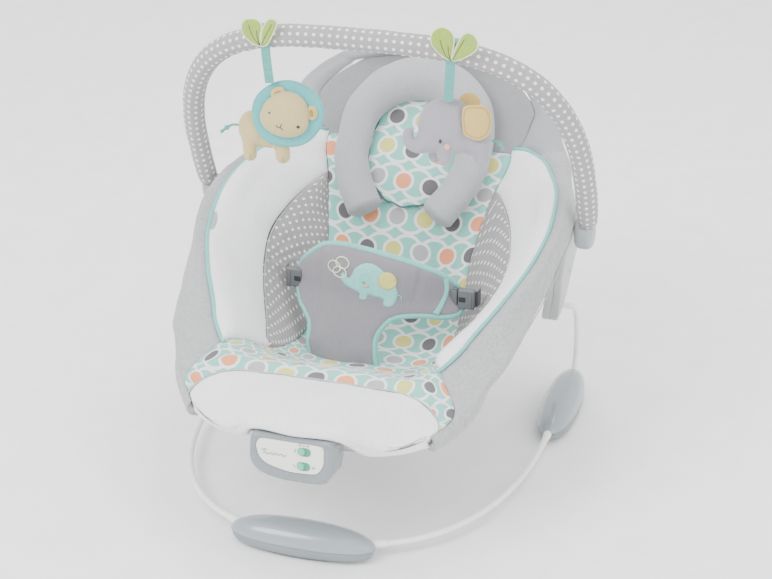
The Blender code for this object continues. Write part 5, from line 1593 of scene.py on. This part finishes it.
def build_ribbons_and_leaves():
    """Ribbon of each toy, a loop of it round the bar, and the leaves standing on the bar."""
    toys = (("lion", -0.117, (0.0105, -0.0165, -0.0470), 8.0),
            ("elephant", 0.098, (-0.0005, -0.0205, -0.0490), -4.0))
    for word, x, (dx, dy, dz), lean in toys:
        at = np.array(bar_place(x))
        around = SLEEVE_R + 0.0012
        step = 0.55 * dx if dx > 0 else 0.0
        drop = through([at + (step, -around, -0.004),
                        at + (step + 0.1 * dx, -around - 0.0008, -0.018),
                        at + (step + 0.3 * dx, (dy - around) / 2 - 0.001, -0.033),
                        at + (dx, dy, dz)], 40)
        piece = strap(f"{word}_ribbon", drop, 0.0104, 0.0010, RIBBON, word, (1, 0, 0.12 * lean / 8))
        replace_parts(piece, f"{word}_strap")
        loop = [at + (0.0, -around * math.cos(a), around * math.sin(a))
                for a in np.linspace(math.radians(55), math.radians(186), 40)]
        strap(f"{word}_ribbon_loop", loop, 0.0104, 0.0010, RIBBON, "toy_bar", (1, 0, 0))
        seam = at + np.array((0, -around - 0.0010, 0))
        rod(f"{word}_ribbon_seam", through([seam + (-0.0046, 0, -0.0015), seam + (0, 0, -0.0015),
                                            seam + (0.0046, 0, -0.0015)], 8), 0.0004, DARK_TEAL,
            "toy_bar", 6)
        build_leaf(word, at)


def build_leaf(word, at):
    """Two stitched felt lobes joined at their foot."""
    wide = [(0.0, -0.006), (-0.0075, -0.0035), (-0.0135, 0.0015), (-0.0172, 0.0075),
            (-0.0182, 0.0145), (-0.0161, 0.0215), (-0.0119, 0.0247), (-0.0055, 0.0253),
            (-0.0003, 0.0238), (0.0029, 0.0203), (0.0040, 0.0165), (0.0028, 0.0110),
            (0.0016, 0.0055), (0.0012, -0.0010)]
    narrow = [(0.0018, -0.0055), (0.0030, 0.0020), (0.0045, 0.0110), (0.0066, 0.0174),
              (0.0103, 0.0238), (0.0146, 0.0272), (0.0204, 0.0272), (0.0225, 0.0244),
              (0.0204, 0.0174), (0.0172, 0.0110), (0.0130, 0.0028), (0.0093, -0.0025),
              (0.0055, -0.0052)]
    if word == "elephant":
        wide = [(-0.0006, -0.0043), (-0.0111, 0.0022), (-0.0178, 0.0110), (-0.0196, 0.0195),
                (-0.0172, 0.0272), (-0.0106, 0.0315), (-0.0041, 0.0312), (0.0024, 0.0262),
                (0.0044, 0.0185), (0.0036, 0.0100), (0.0018, 0.0015)]
        narrow = [(0.0024, -0.0043), (0.0058, 0.0069), (0.0092, 0.0157), (0.0140, 0.0244),
                  (0.0204, 0.0293), (0.0274, 0.0281), (0.0316, 0.0219), (0.0309, 0.0144),
                  (0.0262, 0.0082), (0.0192, 0.0032), (0.0110, -0.0018)]
    lobes = (wide, narrow)

    def surface(x, z, off):
        x, z = np.asarray(x), np.asarray(z)
        cup = 0.0030 * (np.abs(x) / 0.022) ** 2 + 0.0012 * np.sin(z * 160 + x * 90)
        y = -SLEEVE_R - 0.0048 - 0.10 * z - cup - off
        return at + np.stack([x, y, z], -1)
    for k, outline in enumerate(lobes):
        name = f"{word}_leaf_{'left' if k == 0 else 'right'}"
        curve = outline_curve(outline, 70)
        piece = shaped_sheet(name, curve, surface, 0.0016, LEAF, "toy_bar", 0.0030, 0.0009)
        if k == 0:
            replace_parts(piece, f"{word}_leaf")
        edge = surface(curve[:, 0], curve[:, 1], np.full(len(curve), -0.0008))
        rod(f"{name}_edge", edge, 0.0010, LEAF_EDGE, "toy_bar", 8, closed=True)
        veins = [((0.0006, -0.0045), (-0.0055, 0.0040), (-0.0098, 0.0190)),
                 ((0.0010, -0.0045), (-0.0008, 0.0040), (-0.0012, 0.0130))]
        if k:
            veins = [((0.0030, -0.0035), (0.0090, 0.0080), (0.0165, 0.0215))]
        for n, vein in enumerate(veins):
            line = through([(*p, 0) for p in vein], 16)
            rod(f"{name}_vein_{n + 1}", surface(line[:, 0], line[:, 1], np.full(16, 0.0010)),
                0.00035, DARK_STITCH, "toy_bar", 6)


# ------------------------------------------------------------------ control unit

def unit_point(points):
    """Points of the unit's own frame in the drawing frame."""
    turn = np.array(UNIT_PLACE)
    return np.asarray(points, float) @ turn[:3, :3].T + turn[:3, 3]


def unit_outline(inset, low_extra, side):
    """Front outline of the housing: round lower corners, more on the left; flatter above."""
    half, height = UNIT_W / 2 - inset - side, UNIT_H - inset
    low = inset + low_extra
    return [(-half, height - 0.010), (-half + 0.0012, height - 0.004), (-half + 0.007, height),
            (0.0, height), (half - 0.006, height), (half - 0.0005, height - 0.004),
            (half, height - 0.010), (half, low + 0.014), (half - 0.003, low + 0.006),
            (half - 0.010, low + 0.0012), (0.006, low), (-half + 0.030, low + 0.0012),
            (-half + 0.013, low + 0.0055), (-half + 0.004, low + 0.0125),
            (-half + 0.0005, low + 0.021)]


def rounded_rectangle(half_w, half_h, radius, cx, cz):
    points = []
    for sx, sz, start in ((1, 1, 0), (-1, 1, 90), (-1, -1, 180), (1, -1, 270)):
        for a in np.linspace(math.radians(start), math.radians(start + 90), 8):
            points.append((cx + sx * (half_w - radius) + radius * math.cos(a),
                           cz + sz * (half_h - radius) + radius * math.sin(a)))
    return points


def unit_stack(name, levels, material, body):
    """Lofted piece of the unit from (depth, outline) levels in its own frame."""
    rows = [unit_point([(x, y, z) for x, z in outline]) for y, outline in levels]
    return loft(name, rows, material, body)


def build_unit():
    """Housing with its bezel, face plate, switches and marks."""
    def ring_of(inset, plate=False):
        extra = (UNIT_LIP - UNIT_BEZEL, UNIT_SIDE - UNIT_BEZEL) if plate else (0.0, 0.0)
        return outline_curve(unit_outline(inset, *extra), 96)
    shell = [(depth, ring_of(inset, True)) for depth, inset in
             ((0.0060, 0.0046), (0.0010, 0.0046), (0.0002, 0.0042), (0.0000, 0.0036))]
    shell += [(depth, ring_of(inset)) for depth, inset in
              ((0.0000, 0.0024), (0.0016, 0.0008), (0.0040, 0.0), (0.0200, 0.0),
               (0.0420, 0.0003), (0.0540, 0.0030), (0.0585, 0.0075), (0.0598, 0.0150))]
    housing = unit_stack("unit_shell", shell, UNIT_GREY, "seat")
    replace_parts(housing, "unit_housing")
    plate = [(depth, ring_of(inset, True)) for depth, inset in
             ((0.0026, 0.0047), (0.0008, 0.0048), (0.0002, 0.0052), (0.0000, 0.0062))]
    flat, middle = np.array(plate[-1][1]), np.array((0.0, 0.027))
    plate += [(-0.0001 * k, middle + (flat - middle) * share)
              for k, share in ((1, 0.7), (2, 0.35), (2, 0.02))]
    face = unit_stack("unit_face_plate", plate, FACE_WHITE, "seat")
    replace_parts(face, "unit_face")
    face_z = (UNIT_LIP + UNIT_H - UNIT_BEZEL) / 2
    for name, z in (("music_switch", face_z + SWITCH_DZ), ("vibration_switch", face_z - SWITCH_DZ)):
        slot = [(depth, rounded_rectangle(*size, SWITCH_X, z)) for depth, *size in
                ((-0.0006, 0.0073, 0.0045, 0.00445), (-0.0003, 0.0070, 0.0042, 0.00415),
                 (0.0004, 0.0070, 0.0042, 0.00415))]
        unit_stack(f"{name}_well", slot, SLOT_DARK, "seat")
        knob = [(depth, rounded_rectangle(*size, SWITCH_X - SWITCH_TRAVEL / 2, z))
                for depth, *size in
                ((0.0002, 0.0040, 0.0039, 0.00385), (-0.0018, 0.0040, 0.0039, 0.00385),
                 (-0.0028, 0.0036, 0.0035, 0.00345), (-0.0033, 0.0026, 0.0026, 0.00255),
                 (-0.0034, 0.0006, 0.0014, 0.00055))]
        piece = unit_stack(f"{name}_knob", knob, SWITCH_GREEN, name)
        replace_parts(piece, name)
    build_marks(face_z)


def mark(name, points, radius=0.00022, material=ICON_INK, closed=False, at=(0.0, 0.0)):
    """Raised printed line on the face plate."""
    path = unit_point([(at[0] + x, -0.0004, at[1] + z) for x, z in points])
    rod(name, path, radius, material, "seat", 6, closed=closed)


def build_marks(face_z):
    """Generic signs beside the switches and a plain leaf-and-wave mark; no words."""
    def ring(radius):
        return [(radius * math.cos(a), radius * math.sin(a)) for a in round_angles(20)]
    top, low = face_z + SWITCH_DZ, face_z - SWITCH_DZ
    mark("sign_off", ring(0.0011), closed=True, at=(0.0110, top + 0.0072))
    for k, x in enumerate((0.0150, 0.0190)):
        size = 0.0009 + 0.0004 * k
        mark(f"sign_level_{k + 1}", [(-size, 0.0006), (0, 0.0018), (0, 0)], at=(x, top + 0.0060))
        for n in range(k + 1):
            mark(f"sign_wave_{k + 1}_{n + 1}", [(0, 0.0016), (0.0003, 0.0008), (0, 0)], 0.00018,
                 at=(x + 0.0009 + 0.0007 * n, top + 0.0062))
    mark("sign_note_stem", [(0, 0.0028), (0, 0)], at=(0.0062, top - 0.0006))
    mark("sign_note_flag", [(0, 0.0008), (0.0012, 0)], at=(0.0062, top + 0.0014))
    mark("sign_note_head", ring(0.0005), 0.00024, closed=True, at=(0.0057, top - 0.0008))
    mark("sign_rest_pad", [(0, 0.0026), (0.0004, 0.0002), (0.0024, 0)], 0.00024,
         at=(0.0052, low - 0.0012))
    for n in range(3):
        shake = [(0, 0.0012), (0.0004, 0.0004), (0, -0.0004), (0.0004, -0.0012)]
        mark(f"sign_shake_{n + 1}", shake, 0.0002, at=(0.0256 + 0.0013 * n, low))
    mark("plain_mark_leaf", [(-0.0018, -0.0006), (-0.0010, 0.0010), (0.0008, 0.0014),
                             (0.0018, 0.0004)], 0.0005, ICON_LEAF, at=(-0.0270, face_z + 0.0040))
    wave = [(0.0012 * k, 0.0010 * math.sin(k * 1.25)) for k in range(22)]
    mark("plain_mark_wave", wave, 0.00034, at=(-0.0285, face_z + 0.0008))


# ------------------------------------------------------------------ hidden pieces, stage, camera

def dress_hidden_parts():
    """Materials of the pieces inside the cover, the bar and the unit."""
    finishes = {"front_tube": STEEL, "back_tube": STEEL, "toy_bar": WIRE_WHITE,
                "battery_1": CELL, "battery_2": CELL, "circuit_board": BOARD,
                "vibration_motor": STEEL, "motor_weight": BRASS, "speaker": SPEAKER_BLACK,
                "battery_door": UNIT_GREY}
    for name, material in finishes.items():
        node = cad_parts[name]
        node.data.materials.clear()
        node.data.materials.append(material)


LIGHTS = (("key", (-1.3, -1.7, 2.2), 1.6, 66.0), ("fill", (1.9, -1.2, 1.4), 1.8, 20.0),
          ("top", (0.1, 0.6, 2.6), 1.5, 34.0))          # name, place, size in m, power in W
LIGHT_TARGET = Vector((0, 0, 0.2))
SKY_STRENGTH = 1.75
CAMERA_LENS, CAMERA_DISTANCE, CAMERA_TARGET = 84.31, 2.122, Vector((0.008, 0.0, 0.183))
CAMERA_AZIMUTH, CAMERA_ELEVATION = math.radians(16.778), math.radians(25.458)


def add_light(name, place, size, power):
    data = bpy.data.lights.new(name, "AREA")
    data.shape = "DISK"
    data.size = size
    data.energy = power
    lamp = bpy.data.objects.new(name, data)
    lamp.location = place
    lamp.rotation_euler = (Vector(place) - LIGHT_TARGET).to_track_quat("Z", "Y").to_euler()
    bpy.context.scene.collection.objects.link(lamp)


def build_stage():
    """Pale floor and backdrop, soft lights and world."""
    bm = bmesh.new()
    bmesh.ops.create_grid(bm, x_segments=4, y_segments=4, size=6.0)
    mesh = bpy.data.meshes.new("floor")
    bm.to_mesh(mesh)
    bm.free()
    floor = bpy.data.objects.new("floor", mesh)
    floor.location.z = -0.0002
    bpy.context.scene.collection.objects.link(floor)
    mesh.materials.append(FLOOR)
    world = bpy.data.worlds.new("studio")
    world.use_nodes = True
    sky = world.node_tree.nodes["Background"]
    sky.inputs["Color"].default_value = (1.0, 1.0, 1.0, 1.0)
    sky.inputs["Strength"].default_value = SKY_STRENGTH
    bpy.context.scene.world = world
    for light in LIGHTS:
        add_light(*light)


def build_camera():
    """Camera at the reference view's angle."""
    data = bpy.data.cameras.new("camera")
    data.sensor_width = 36.0
    data.lens = CAMERA_LENS
    data.clip_start, data.clip_end = 0.05, 60.0
    camera = bpy.data.objects.new("camera", data)
    level = math.cos(CAMERA_ELEVATION)
    back = Vector((math.sin(CAMERA_AZIMUTH) * level, -math.cos(CAMERA_AZIMUTH) * level,
                   math.sin(CAMERA_ELEVATION)))
    camera.location = CAMERA_TARGET + SHIFT + CAMERA_DISTANCE * back
    camera.rotation_mode = "QUATERNION"
    camera.rotation_quaternion = (-back).to_track_quat("-Z", "Y")
    bpy.context.scene.collection.objects.link(camera)
    bpy.context.scene.camera = camera


BUILDERS = (build_camera, build_stage, build_wires, build_feet, build_hubs, build_toy_bar,
            build_print_panel, build_wings, build_roll, build_top_panel, build_under_cover,
            build_apron, build_head_support, build_restraint, build_lion, build_elephant,
            build_ribbons_and_leaves, build_unit, dress_hidden_parts)
for build in BUILDERS:
    build()
